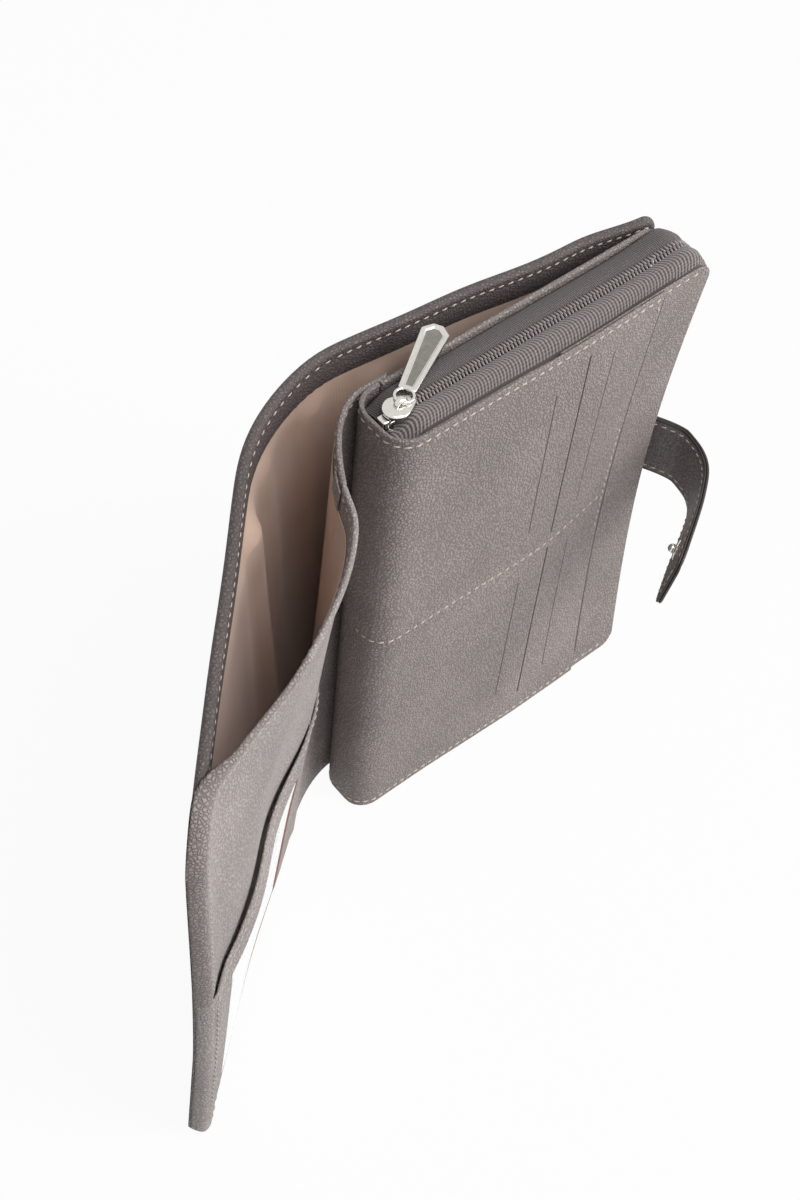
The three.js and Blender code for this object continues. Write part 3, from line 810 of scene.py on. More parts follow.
class Thread:
    """Stitches of one seam or group of seams, copied from one modelled stitch."""

    LENGTH = 2.35
    WIDTH = 0.62
    HEIGHT = 0.5
    DIP = 0.3
    PITCH = 3.2
    SLANT = 0.16
    STAND = 0.12
    REACH = 0.5

    def __init__(self) -> None:
        """Models the one stitch, with its ends drawn down into the leather."""
        self.form, self.rings = bead((self.LENGTH, self.WIDTH, self.HEIGHT), "Y")
        self.form[:, 2] -= self.DIP * (2 * self.form[:, 0] / self.LENGTH) ** 2
        self.seams: list[Array] = []

    def sew(self, sheet: Sheet, side: Side, places: Sequence[Pair], pitch: float = PITCH) -> None:
        """Adds a row of stitches on a face of a sheet.

        Args:
            sheet: what it is sewn on.
            side: the face.
            places: corners of the seam as distances along and up.
            pitch: distance from stitch to stitch.
        """
        corners = np.asarray(places, float)
        marks = distances(corners)
        count = max(1, int(marks[-1] / pitch))
        at = (np.arange(count) + 0.5) * marks[-1] / count
        ahead = on_line(corners, marks, at + self.REACH) - on_line(corners, marks, at - self.REACH)
        along, up = on_line(corners, marks, at).T
        place, way, rise, left = sheet.skin.frame(along, up)
        face = sheet.faces_at(along, up)[0 if side is Side.LEFT else 1]
        out = left * side.value
        line = unit(way * ahead[:, :1] + rise * ahead[:, 1:])
        line = line * math.cos(self.SLANT) + np.cross(out, line) * math.sin(self.SLANT)
        middle = place + left * face[:, None] + out * self.STAND
        axes = np.stack([line, np.cross(out, line), out], axis=1)
        self.seams.append(middle[:, None, :] + self.form @ axes)

    def build(self, name: str) -> Piece:
        """Makes the group as one piece."""
        return copied(name, np.concatenate(self.seams), self.rings)


def linear(colour: str) -> tuple[float, float, float, float]:
    """An sRGB hex colour as linear values.

    Args:
        colour: six hex digits after a #.

    Returns:
        Red, green, blue and full opacity.
    """
    parts = [int(colour[at:at + 2], 16) / 255 for at in (1, 3, 5)]
    red, green, blue = (
        part / 12.92 if part <= 0.04045 else ((part + 0.055) / 1.055) ** 2.4 for part in parts
    )
    return red, green, blue, 1.0


def per_metre(size: float) -> float:
    """Scale of a pattern whose marks have a size in millimetres."""
    return 1.0 / (size * MM)


def plug(node: Node, inputs: dict) -> None:
    """Sets or links a node's inputs.

    Args:
        node: the node.
        inputs: input names or numbers with values, or nodes or sockets to link from.
    """
    for name, value in inputs.items():
        source = value.outputs[0] if isinstance(value, Node) else value
        if isinstance(source, bpy.types.NodeSocket):
            node.id_data.links.new(source, node.inputs[name])
        else:
            node.inputs[name].default_value = source


def add_node(tree: bpy.types.NodeTree, kind: str, inputs: dict | None = None, **settings: object) -> Node:
    """Adds a node with its settings, values and links.

    Args:
        tree: the node tree.
        kind: the shader node's type.
        inputs: input names or numbers with values, or nodes or sockets to link from.
        settings: the node's own settings.

    Returns:
        The new node.
    """
    made = tree.nodes.new(f"ShaderNode{kind}")
    for name, value in settings.items():
        setattr(made, name, value)
    plug(made, inputs or {})
    return made


def blank(name: str) -> tuple[Material, Adder, Node]:
    """Starts a material.

    Args:
        name: the material's name.

    Returns:
        The material, a function that adds nodes to it, and its surface shader.
    """
    material = bpy.data.materials.new(name)
    material.use_nodes = True
    tree = material.node_tree
    return material, partial(add_node, tree), tree.nodes["Principled BSDF"]


@dataclass(frozen=True)
class GrainedLeather:
    """Pigmented cowhide embossed with a pebble grain: satin domes, and creases between them darkened as
    painted shade.

    grain, drift, pore and mottle are the sizes of its marks, and depth is that of the creases.
    """

    name: str
    colour: str
    crease: str
    grain: float = 1.1
    crease_width: float = 0.3
    depth: float = 0.16
    drift: float = 2.86
    drift_reach: float = 1.1
    pore: float = 0.385
    pore_share: float = 0.22
    mottle: float = 35.7
    mottle_range: Pair = (0.86, 1.12)
    roughness: float = 0.5
    crease_roughness: float = 0.7
    specular: float = 0.5

    def make(self) -> Material:
        """Builds the material; its pores are drawn coarser than real ones so that they show.

        Returns:
            The material.
        """
        material, add, shader = blank(self.name)
        place = add("TexCoord").outputs["Object"]
        drift, pores, broad = (
            add("TexNoise", {"Vector": place, "Scale": per_metre(size), "Detail": fine})
            for size, fine in ((self.drift, 2.0), (self.pore, 3.0), (self.mottle, 4.0))
        )
        bent = add(
            "VectorMath",
            {0: drift.outputs["Color"], 1: (self.drift_reach * MM,) * 3, 2: place}, operation="MULTIPLY_ADD",
        )
        pebbles = add(
            "TexVoronoi", {"Vector": bent, "Scale": per_metre(self.grain)}, feature="DISTANCE_TO_EDGE",
        )
        domes = add(
            "MapRange", {0: pebbles.outputs["Distance"], 1: 0.0, 2: self.crease_width},
            interpolation_type="SMOOTHSTEP",
        )
        dark, light = self.mottle_range
        patches = add("MapRange", {0: broad.outputs["Fac"], 1: 0.3, 2: 0.7, 3: dark, 4: light})
        # Painted shade: the creases between the domes take the darker crease colour.
        tone = add("Mix", {0: domes, 6: linear(self.crease), 7: linear(self.colour)}, data_type="RGBA")
        shaded = add("Mix", {0: 1.0, 6: tone.outputs[2], 7: patches}, data_type="RGBA", blend_type="MULTIPLY")
        rough = add("MapRange", {0: domes, 3: self.crease_roughness, 4: self.roughness})
        height = add(
            "Math", {0: pores.outputs["Fac"], 1: self.pore_share, 2: domes}, operation="MULTIPLY_ADD",
        )
        bump = add("Bump", {"Height": height, "Distance": self.depth * MM, "Strength": 1.0})
        plug(shader, {
            "Base Color": shaded.outputs[2], "Roughness": rough, "Normal": bump,
            "Specular IOR Level": self.specular,
        })
        return material


@dataclass(frozen=True)
class SatinLining:
    """Woven polyester lining: fine satin with a soft sheen and slight rucks, whose hollows are painted darker
    as painted shade.
    """

    name: str
    colour: str
    shade: str
    thread: float = 0.45
    ruck: float = 22.2
    ruck_share: float = 3.0
    depth: float = 0.06

    def make(self) -> Material:
        """Builds the material; the threads are drawn coarser than real ones so that they show.

        Returns:
            The material.
        """
        material, add, shader = blank(self.name)
        flat = add("TexCoord").outputs["UV"]
        pitch = math.tau / 20.0 * per_metre(self.thread)
        weave = [
            add(
                "TexWave", {"Vector": flat, "Scale": pitch, "Distortion": 0.6}, bands_direction=axis,
            ).outputs["Fac"]
            for axis in ("X", "Y")
        ]
        cloth = add("Math", {0: weave[0], 1: weave[1]}, operation="MULTIPLY")
        rucks = add("TexNoise", {"Vector": flat, "Scale": per_metre(self.ruck), "Detail": 3.0})
        # Painted shade: the ruck hollows take the darker shade colour.
        tone = add(
            "Mix", {0: rucks.outputs["Fac"], 6: linear(self.shade), 7: linear(self.colour)},
            data_type="RGBA",
        )
        height = add(
            "Math", {0: rucks.outputs["Fac"], 1: self.ruck_share, 2: cloth}, operation="MULTIPLY_ADD",
        )
        bump = add("Bump", {"Height": height, "Distance": self.depth * MM, "Strength": 0.8})
        plug(shader, {"Base Color": tone.outputs[2], "Normal": bump, "Roughness": 0.55, "Sheen Weight": 0.25})
        return material


@dataclass(frozen=True)
class HerringboneTape:
    """Woven polyester zip tape: rows of bowed ribs of matt yarn, with painted light on the crests and painted
    shade in the hollows.
    """

    name: str
    colour: str
    shade: str
    rib: float = 1.2
    bow: float = 1.6
    half_wave: float = 6.0
    knot: float = 0.75
    knot_share: float = 0.3
    yarn: float = 0.667
    yarn_share: float = 1.6
    depth: float = 0.12

    def make(self) -> Material:
        """Builds the material; its UV runs along the tape and across it.

        Returns:
            The material.
        """
        material, add, shader = blank(self.name)
        flat = add("TexCoord").outputs["UV"]
        parts = add("SeparateXYZ", {0: flat})
        turn = add(
            "Math", {0: parts.outputs[1], 1: math.pi * per_metre(self.half_wave)}, operation="MULTIPLY",
        )
        swing = add("Math", {0: turn}, operation="COSINE")
        slant = add("Math", {0: swing, 1: self.bow * MM, 2: parts}, operation="MULTIPLY_ADD")
        ribs, knots = (
            add(
                "Math",
                {0: add("Math", {0: place, 1: math.tau * per_metre(size)}, operation="MULTIPLY")},
                operation="SINE",
            )
            for place, size in ((slant.outputs[0], self.rib), (parts.outputs[1], self.knot))
        )
        woven = add("Math", {0: knots, 1: self.knot_share, 2: ribs}, operation="MULTIPLY_ADD")
        yarn = add("TexNoise", {"Vector": flat, "Scale": per_metre(self.yarn), "Detail": 2.0})
        mixed = add(
            "Math", {0: yarn.outputs["Fac"], 1: self.yarn_share, 2: woven}, operation="MULTIPLY_ADD",
        ).outputs[0]
        share = add("MapRange", {0: mixed, 1: -0.4, 2: 2.1})
        # Painted light and shade: the rib crests take the light colour and the hollows the shade colour; yarn
        # noise adds random tone.
        tone = add("Mix", {0: share, 6: linear(self.shade), 7: linear(self.colour)}, data_type="RGBA")
        bump = add("Bump", {"Height": mixed, "Distance": self.depth * MM, "Strength": 1.0})
        plug(shader, {"Base Color": tone.outputs[2], "Normal": bump, "Roughness": 0.8, "Sheen Weight": 0.15})
        return material


@dataclass(frozen=True)
class PlainFinish:
    """A finish of one colour with fine wear: plated metal, nylon, thread, clear film or painted edge."""

    name: str
    colour: str
    roughness: float
    metallic: float = 0.0
    wear: float = 0.12
    wear_size: float = 1.11
    bump: float = 0.02
    transmission: float = 0.0

    def make(self) -> Material:
        """Builds the material.

        Returns:
            The material.
        """
        material, add, shader = blank(self.name)
        place = add("TexCoord").outputs["Object"]
        marks = add(
            "TexNoise", {"Vector": place, "Scale": per_metre(self.wear_size), "Detail": 4.0},
        ).outputs["Fac"]
        tone, rough = (
            add("MapRange", {0: marks, 1: 0.3, 2: 0.7, 3: low, 4: high}).outputs[0]
            for low, high in ((1 - self.wear, 1 + self.wear), (self.roughness * 0.8, self.roughness * 1.25))
        )
        paint = add("Mix", {0: 1.0, 6: linear(self.colour), 7: tone}, data_type="RGBA", blend_type="MULTIPLY")
        bump = add("Bump", {"Height": marks, "Distance": self.bump * MM, "Strength": 0.6})
        plug(shader, {
            "Base Color": paint.outputs[2], "Roughness": rough, "Normal": bump,
            "Metallic": self.metallic, "Transmission Weight": self.transmission,
        })
        return material


class Finish(Enum):
    """The wallet's finishes."""

    # Grained hides: the cover is the front's taupe leather painted darker as painted shade on its outside,
    # which faces away from the lamps, with a shallow grain; the flap's panel is softer, painted paler as
    # painted light.
    LEATHER = GrainedLeather("taupe_grained_cowhide", "#968d89", "#736a67", depth=0.2)
    COVER = GrainedLeather("taupe_cowhide_painted_shade", "#625a59", "#4c4443", depth=0.16)
    PANEL = GrainedLeather("soft_taupe_cowhide_painted_light", "#aca4a1", "#857d7a", crease_width=0.36, depth=0.2)
    # Split leather of the strap's inside: finer and flatter than the outside.
    STRAP_INSIDE = GrainedLeather("charcoal_strap_leather", "#857d7b", "#5f5857", grain=0.9, depth=0.1)
    # Cloth: a pale satin in the pocket, and zip tapes with bold ribs in front and fine ones behind.
    LINING = SatinLining("rose_beige_satin_lining", "#dcc0ae", "#c8ab9a")
    TAPE = HerringboneTape("herringbone_zip_tape", "#9a9190", "#443e3b")
    BACK_TAPE = HerringboneTape("plain_zip_tape", "#6d6564", "#514a49", rib=0.62, bow=0.0)
    # Drawn nylon: smooth turns with a soft highlight.
    COIL = PlainFinish("grey_nylon_coil", "#8f8785", 0.3, wear=0.1)
    # Nickel plate: bright and mirror-like where it is polished, duller in the puller's recess.
    RECESS = PlainFinish("matt_nickel_recess", "#8a8680", 0.3, metallic=1.0, wear=0.1, bump=0.01)
    NICKEL = PlainFinish("polished_nickel_plate", "#d6d3cd", 0.12, metallic=1.0, wear=0.04, bump=0.004)
    # Waxed polyester thread: pale, matt and slightly uneven.
    THREAD = PlainFinish("greige_waxed_thread", "#c2b7ac", 0.6, wear=0.2, wear_size=0.417, bump=0.08)
    FLAP_THREAD = PlainFinish("taupe_waxed_thread", "#a89f9a", 0.6, wear=0.2, wear_size=0.417, bump=0.08)
    # Calendered vinyl: milky, with sharp highlights.
    FILM = PlainFinish("clear_vinyl_film", "#ffffff", 0.12, wear=0.02, wear_size=16.7, transmission=0.3)
    # Cut edges: brown and fibrous where raw, dark where inked on the strap. Painted shade: dark in the card
    # slots, beside the facing's edge and on the zip tapes next to the leathers, and softer in the nearly shut
    # slots.
    RAW_EDGE = PlainFinish("raw_cut_leather_edge", "#83594a", 0.8, wear=0.3, bump=0.08)
    WORN_EDGE = PlainFinish("painted_shade_soft", "#6c6360", 0.7, wear=0.25, bump=0.05)
    INKED_EDGE = PlainFinish("inked_strap_edge", "#332d2b", 0.45, wear=0.2, bump=0.03)
    DARK_EDGE = PlainFinish("painted_shade_dark", "#4c4442", 0.7, wear=0.25, bump=0.05)

    @property
    def material(self) -> Material:
        """The finish's material, made when first asked for."""
        return bpy.data.materials.get(self.value.name) or self.value.make()


class Slot(Enum):
    """Material slots, which dress takes but does not use."""

    LEATHER = "leather"
    LINING = "lining"
    TAPE = "tape"
    COIL = "coil"
    NICKEL = "nickel"
    FILM = "film"


def dress(piece: Piece, finish: Finish, slot: Slot, *nodes: str) -> Piece:
    """Gives a piece its finish, hides the solids that it stands for and logs its number of faces.

    Args:
        piece: the object.
        finish: its finish.
        slot: not used.
        nodes: names of the solids that it replaces.

    Returns:
        The piece.
    """
    piece.data.materials.clear()
    piece.data.materials.append(finish.material)
    if nodes:
        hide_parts(*nodes)
    LOG.info("%s: %d faces", piece.name, len(piece.data.polygons))
    return piece


def paint(piece: Piece, finish: Finish, test: Relief) -> None:
    """Gives chosen faces of a sheet another finish.

    Args:
        piece: the sheet's object.
        finish: the other finish.
        test: tells by distances along and up which faces are chosen.
    """
    piece.data.materials.append(finish.material)
    flat = np.zeros(2 * len(piece.data.loops), np.float32)
    piece.data.uv_layers["cut"].data.foreach_get("uv", flat)
    corners = flat.reshape(-1, 2).astype(float) / MM
    middles = np.array([corners[list(face.loop_indices)].mean(axis=0) for face in piece.data.polygons])
    chosen = test(middles[:, 0], middles[:, 1])
    for face, picked in zip(piece.data.polygons, chosen):
        if picked:
            face.material_index = len(piece.data.materials) - 1


def bend(piece: Piece) -> None:
    """Applies a piece's transform to its mesh."""
    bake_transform(piece)


class Layers:
    """Plan distances of the layers between block and cover, shared by cover and inner leather."""

    COVER_TO_AXIS = 15.0
    PARTITION_IN = 3.4
    PARTITION_DEPTH = 22.8
    COVER_DEPTH = 26.2


@dataclass
class Cover:
    """Outer cover with its lining: behind the block, round the spine and along the flap.

    Each wave has its height, length and lean, and each loose fold of the lining its place past the spine's
    start, height and width.
    """

    inset: float = 0.8
    drawn_in: float = 1.7
    spine_start_foot: float = 9.0
    spine_start_rim: float = 13.0
    spine_end_foot: float = 10.0
    spine_end_rim: float = 20.5
    back_gape: float = 12.3
    spine_gape: float = 11.6
    edge_lean: float = 4.5
    edge_back: float = 1.6
    zip_corner: float = 5.0
    foot_corner: float = 10.0
    head_corner: float = 24.0
    half_thickness: float = 1.0
    waves: tuple[Triple, ...] = ((0.45, 13.0, 1.7), (0.3, 7.1, -2.0))
    hem: float = 10.0
    hem_thickness: float = 0.85
    roll: float = 0.35
    stitch_in: float = 2.8
    seam_depth: float = 0.3
    seam_width: float = 0.7
    lining_low: float = 3.0
    lining_in: float = 2.4
    lining_tuck: float = 1.4
    lining_faces: Pair = (1.4, 1.1)
    folds: tuple[Triple, ...] = ((9.0, 2.4, 2.8), (-12.0, 1.6, 4.0), (30.0, 1.8, 3.6), (66.0, 1.2, 5.0))
    deep_fold: Triple = (50.0, 4.2, 7.0)
    blend_start: Pair = (-110.0, 30.0)
    blend_end: Pair = (-146.0, 14.0)

    def __post_init__(self) -> None:
        """Draws the cover's surface."""
        width, depth = DRAWING.block_width, Layers.COVER_DEPTH
        start = (-self.inset, depth)
        back_foot = straight(start, (-width + self.spine_start_foot, depth))
        back_rim = straight(start, (-width + self.spine_start_rim, depth + self.back_gape))
        away = -Layers.COVER_TO_AXIS
        last = DRAWING.flap_length - self.edge_back
        flap_foot = straight(DRAWING.on_flap(self.spine_end_foot, away), DRAWING.on_flap(last, away))
        flap_rim = straight(
            DRAWING.on_flap(self.spine_end_rim, away - self.spine_gape),
            DRAWING.on_flap(last, away + self.edge_lean),
        )
        foot, rim = (
            joined(back, curved([back[-1], meeting(back, flap), flap[0]]), flap)
            for back, flap in ((back_foot, flap_foot), (back_rim, flap_rim))
        )
        self.skin = Skin(foot, rim, self.wavy)
        self.spine_start = self.skin.marks[len(back_foot) - 1]
        self.leather = Sheet(
            self.skin, 0.0, DRAWING.height, self.half_thickness, -self.half_thickness,
            corner_start=(self.zip_corner, self.zip_corner), corner_end=(self.foot_corner, self.head_corner),
            edge=1.3, spacing=2.6, left_relief=self.hemmed, right_relief=self.rolled,
        )

    def wavy(self, points: Array) -> Array:
        """Slow waves of soft leather, which the seam draws to the back leaf at the zip side.

        Args:
            points: rows of x, y and z.

        Returns:
            The moved points.
        """
        moved = DRAWING.bowed(points)
        high = points[..., 2] / DRAWING.height
        wave = sum(tall * np.sin(points[..., 0] / long + lean * high) for tall, long, lean in self.waves)
        free = smoothstep(points[..., 0], -6.0, -30.0)
        past_strap = smoothstep(np.abs(high - 0.5), 0.1, 0.3)
        moved[..., 1] += wave * smoothstep(high, 0.1, 0.9) * free - self.drawn_in * (1.0 - free) * past_strap
        return moved

    def seam(self, near: Array) -> Array:
        """How far the seam is drawn into the leather, by the distance from its edge."""
        return self.seam_depth * ridge(near, self.stitch_in, self.seam_width)

    def hemmed(self, along: Array, up: Array) -> Array:
        """Turned hem on the pocket side, with the seam drawn into it."""
        near = self.leather.edge_distance(along, up)
        fold = smoothstep(near, self.hem, self.hem - 0.7)
        return self.hem_thickness * fold * smoothstep(up, 12.0, 30.0) - self.seam(near)

    def rolled(self, along: Array, up: Array) -> Array:
        """Rolled edge on the outside, with the seam drawn into it."""
        near = self.leather.edge_distance(along, up)
        return self.roll * smoothstep(near, 5.0, 1.0) - self.seam(near)

    def rucked(self, along: Array, up: Array) -> Array:
        """Loose folds of the lining where the spine turns.

        Args:
            along: distances along the skin.
            up: heights.

        Returns:
            How far the lining stands off.
        """
        past = along - self.spine_start
        folds = sum(high * ridge(past, place, wide) for place, high, wide in self.folds)
        place, high, wide = self.deep_fold
        deep = high * ridge(past, place, wide) * smoothstep(up, 25.0, 90.0)
        below_hem = DRAWING.height - self.hem - up
        return (folds * smoothstep(up, 60.0, 150.0) + deep) * smoothstep(below_hem, 0.5, 7.0)

    def build(self) -> None:
        """Makes cover, lining and stitches."""
        leather = self.leather.build("cover")
        # The cover's darker colour is painted shade on its outside, which faces away from the lamps.
        dress(leather, Finish.COVER, Slot.LEATHER, "cover_back", "cover_spine", "cover_flap")
        low, high = self.lining_low, DRAWING.height - self.hem + self.lining_tuck
        cloth = Sheet(
            self.skin, low, high, *self.lining_faces,
            start=self.lining_in, end=self.skin.length - self.lining_in, corner_start=(self.zip_corner, 0.0),
            corner_end=(self.foot_corner, self.head_corner), edge=0.2, lift=self.rucked,
        )
        lining = dress(
            cloth.build("cover_lining"), Finish.LINING, Slot.LINING,
            "cover_lining_back", "cover_lining_spine", "cover_lining_flap",
        )
        thread = Thread()
        round_corners = [
            self.leather.bend(self.stitch_in, end, head)[:: -1 if end == head else 1]
            for end, head in ((True, True), (False, True), (False, False), (True, False))
        ]
        loop = [place for corner in round_corners for place in corner]
        for side in Side:
            thread.sew(self.leather, side, [*loop, loop[0]])
        stitches = dress(thread.build("cover_stitches"), Finish.THREAD, Slot.LEATHER)
        for piece in (leather, lining, stitches):
            bend(piece)


@dataclass
class InnerLeather:
    """Spine strip and flap panel on the block's side of the note pocket, with linings and the ID pocket.

    rim_places are plan points of the panel's rim in the flap's own frame.
    """

    strip_overlap: float = 17.0
    strip_turn: float = 8.0
    seam_along: float = 14.7
    seam_out: float = 10.5
    rim_places: tuple[Pair, ...] = ((27.0, 4.9), (47.0, 6.3), (73.0, 2.4), (97.0, -5.4), (108.0, -8.6))
    edge_out: float = 0.2
    edge_lean: float = 4.5
    roll: float = 2.6
    roll_depth: float = 4.2
    foot_corner: float = 10.0
    head_corner: float = 24.0
    spine_start_foot: float = 9.0
    spine_end_foot: float = 10.0
    half_thickness: float = 0.6
    hem: float = 9.0
    rim: float = 0.45
    seam_depth: float = 0.2
    seam_width: float = 0.7
    stitch_in: float = 2.6
    free_stitch_in: float = 4.2
    seam_stitch_in: float = 1.6
    mouth_stitch_in: float = 2.4
    turned_edge: float = 3.0
    mouth: float = 96.0
    mouth_from: float = 19.0
    mouth_to: float = 107.0
    mouth_gape: float = 1.1
    fullness: float = 3.3
    wave: float = 0.3
    sag: float = 4.4
    sag_at: float = 57.0
    sag_width: float = 26.0
    foot_tuck: float = 1.6
    foot_tuck_high: float = 0.075
    pocket_faces: Pair = (2.1, 1.3)
    window: tuple[float, float, float, float] = (31.0, 94.5, 0.105, 0.905)
    raw_edge: float = 0.45
    film_faces: Pair = (1.8, 1.5)
    film_lap: float = 4.0
    keep: float = 0.08
    anchor_along: float = 60.0
    anchor_in: float = -10.8
    anchor_tilt: float = 0.053
    blend_start: Pair = (-113.0, 24.0)
    blend_end: Pair = (-156.4, 6.7)
    lap: float = 6.0
    lap_past_seam: float = 1.5
    lap_behind: float = 1.05
    lap_half: float = 0.25
    lap_low: float = 0.4
    lap_short: float = 1.5
    lining_low: float = 3.0
    lining_gap: float = 0.12
    lining_thickness: float = 0.3
    lining_start: float = 0.5
    strip_lining_short: float = 1.5
    panel_lining_short: float = 6.0

    def __post_init__(self) -> None:
        """Draws strip, panel, lap and ID pocket."""
        width, depth = DRAWING.block_width, Layers.PARTITION_DEPTH
        away = -(Layers.COVER_TO_AXIS - Layers.PARTITION_IN)
        last = DRAWING.flap_length + self.edge_out
        start = (-width + self.strip_overlap, depth)
        flat = straight(start, (-width + self.spine_start_foot, depth))
        panel_foot = straight(DRAWING.on_flap(self.spine_end_foot, away), DRAWING.on_flap(last, away), 80)
        strip_foot = joined(flat, curved([flat[-1], meeting(flat, panel_foot), panel_foot[0]]))
        seam = DRAWING.on_flap(self.seam_along, self.seam_out + away)
        rim_flat = straight(start, (-width + self.strip_turn, depth))
        turn = np.array([DRAWING.fold_axis[0], DRAWING.block_depth])
        strip_rim = joined(rim_flat, curved([rim_flat[-1], turn, seam]))
        self.strip_skin = Skin(strip_foot, strip_rim)
        rim_end = DRAWING.on_flap(last, away + self.edge_lean)
        rim = through([seam, *[DRAWING.on_flap(*place) for place in self.rim_places], rim_end])
        self.panel_skin = Skin(panel_foot, even(rim, len(panel_foot)), self.wavy)
        high, half = DRAWING.height, self.half_thickness
        self.strip = Sheet(
            self.strip_skin, 0.0, high, half, -half, edge=0.9, spacing=2.0, left_relief=self.rimmed,
        )
        self.panel = Sheet(
            self.panel_skin, 0.0, high, half, -half, edge=0.9, spacing=2.4,
            corner_end=(self.foot_corner, self.head_corner), lift=self.rolled, left_relief=self.rimmed,
        )
        self.pocket = Sheet(
            self.panel_skin, 0.0, self.mouth, *self.pocket_faces, corner_end=(self.foot_corner, 0.0),
            edge=0.4, spacing=2.4, lift=self.gaping, window=self.window,
        )
        on = unit(seam - turn)
        lap_seam = seam + self.lap_behind * np.array([on[1], -on[0]])
        ends = (-self.lap, self.lap_past_seam)
        lap_foot = [DRAWING.on_flap(self.spine_end_foot + end, away - self.lap_behind) for end in ends]
        lap_rim = [lap_seam + end * on for end in ends]
        self.lap_sheet = Sheet(
            Skin(straight(*lap_foot), straight(*lap_rim)), self.lap_low, high - self.lap_short,
            self.lap_half, -self.lap_half, edge=0.2, spacing=2.0,
        )

    def wavy(self, points: Array) -> Array:
        """Slight waves and the sag of the soft panel at half height.

        Args:
            points: rows of x, y and z.

        Returns:
            The moved points.
        """
        moved = DRAWING.bowed(points)
        share = np.clip(points[..., 2] / DRAWING.height, 0.0, 1.0)
        along = DRAWING.along(points)
        wave = self.wave * np.sin(points[..., 0] / 9.0 + points[..., 2] / 21.0) * np.sin(np.pi * share)
        sag = self.sag * ridge(along, self.sag_at, self.sag_width) * 4.0 * share * (1.0 - share)
        beside = smoothstep(along, 8.0, 22.0) * smoothstep(along, 120.0, 98.0)
        sag = sag + self.foot_tuck * beside * smoothstep(share, self.foot_tuck_high, 0.0)
        moved[..., :2] += (wave - sag)[..., None] * DRAWING.into_flap
        return moved

    def rimmed(self, along: Array, up: Array) -> Array:
        """Turned rim at the top, with the seam drawn into it."""
        near = DRAWING.height - up
        seam = self.seam_depth * ridge(near, self.stitch_in, self.seam_width)
        return self.rim * smoothstep(near, 4.5, 0.8) - seam

    def rolled(self, along: Array, up: Array) -> Array:
        """Turns the panel's free edge and head corner over to the cover.

        Args:
            along: distances along the panel.
            up: heights.

        Returns:
            How far the panel is turned over.
        """
        reach, rise = self.panel_skin.length - along, DRAWING.height - up
        corner = self.head_corner
        inside = (reach < corner) & (rise < corner)
        near = np.where(inside, corner - np.hypot(corner - reach, corner - rise), reach)
        inner = np.clip(1.0 - near / self.roll, 0.0, 1.0)
        share = smoothstep(reach, corner, 0.45 * corner)
        return -share * self.roll_depth * (1.0 - np.sqrt(1.0 - inner**2))

    def gaping(self, along: Array, up: Array) -> Array:
        """How far the ID pocket stands off the panel: full at the window's head, less at its mouth.

        Args:
            along: distances along the panel.
            up: heights.

        Returns:
            The distances.
        """
        share = np.clip((along - self.mouth_from) / (self.mouth_to - self.mouth_from), 0.0, 1.0)
        rise = up / self.mouth
        full = self.fullness * np.clip((rise - 0.08) / 0.8, 0.0, 1.0)
        full = full - (self.fullness - self.mouth_gape) * smoothstep(rise, 0.88, 1.0)
        flush = 0.45 + 0.75 * smoothstep(along, self.mouth_to - 2.0, self.mouth_to + 2.0)
        return full * np.sin(np.pi * share) ** 0.5 - flush + self.rolled(along, up)

    def on_free_edge(self, along: Array, up: Array) -> Array:
        """Tells which places are on the turned edge between the head corner and the ID pocket."""
        near = self.panel.edge_distance(along, up)
        return (near < self.turned_edge) & (along > 0.5 * self.panel_skin.length) & (up > self.mouth)

    def beside_window(self, along: Array, up: Array) -> Array:
        """Tells which places are at the raw cut leather round the ID window, wider at its start."""
        first, last, sill, head = self.window
        over = np.maximum(sill * self.mouth - up, up - head * self.mouth)
        return np.maximum(np.maximum(0.4 * (first - along), along - last), over) < self.raw_edge

    def flatten(self, piece: Piece) -> None:
        """Attaches a soft piece of the flap to the flap's body and gives it a mesh of its own.

        Args:
            piece: the object.
        """
        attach(piece, "flap")
        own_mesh(piece)

    def bend(self, piece: Piece) -> None:
        """Applies the transform of a piece of the spine strip to its mesh."""
        bend(piece)

    def build(self) -> None:
        """Makes strip, panel, linings, ID pocket, film and stitches."""
        strip = dress(self.strip.build("spine_strip_leather"), Finish.LEATHER, Slot.LEATHER, "spine_strip")
        self.bend(strip)
        # The panel's paler colour is painted light; its turned edge keeps the front leather's colour, without
        # it.
        panel = dress(self.panel.build("flap_panel_leather"), Finish.PANEL, Slot.LEATHER, "flap_panel")
        paint(panel, Finish.LEATHER, self.on_free_edge)
        self.flatten(panel)
        self.build_lap()
        self.line("spine_strip_lining", strip, self.strip_skin, self.strip_lining_short, (0.0, 0.0))
        rounded = (self.foot_corner, self.head_corner)
        self.line("flap_panel_lining", panel, self.panel_skin, self.panel_lining_short, rounded)
        # The ID pocket has the panel's paler colour, which is painted light.
        pocket = dress(self.pocket.build("id_pocket_leather"), Finish.PANEL, Slot.LEATHER, "id_pocket")
        paint(pocket, Finish.RAW_EDGE, self.beside_window)
        self.flatten(pocket)
        first, last, sill, head = self.window
        film = Sheet(
            self.panel_skin, sill * self.mouth - self.film_lap, head * self.mouth + self.film_lap,
            *self.film_faces, start=first - self.film_lap, end=last + self.film_lap, edge=0.15,
            lift=self.gaping,
        )
        self.flatten(dress(film.build("id_window_film"), Finish.FILM, Slot.FILM, "id_window"))
        self.sew()

    def build_lap(self) -> None:
        """Makes the panel's seam allowance behind the strip, which the lining covers below the hem."""
        # The lap has the panel's paler colour, which is painted light.
        lap = dress(self.lap_sheet.build("flap_panel_lap"), Finish.PANEL, Slot.LEATHER)
        lap.data.materials.append(Finish.LINING.material)
        under_hem = (DRAWING.height - self.hem) * MM
        for face in lap.data.polygons[len(lap.data.polygons) // 2:]:
            face.material_index = int(face.center.z < under_hem)
        self.flatten(lap)

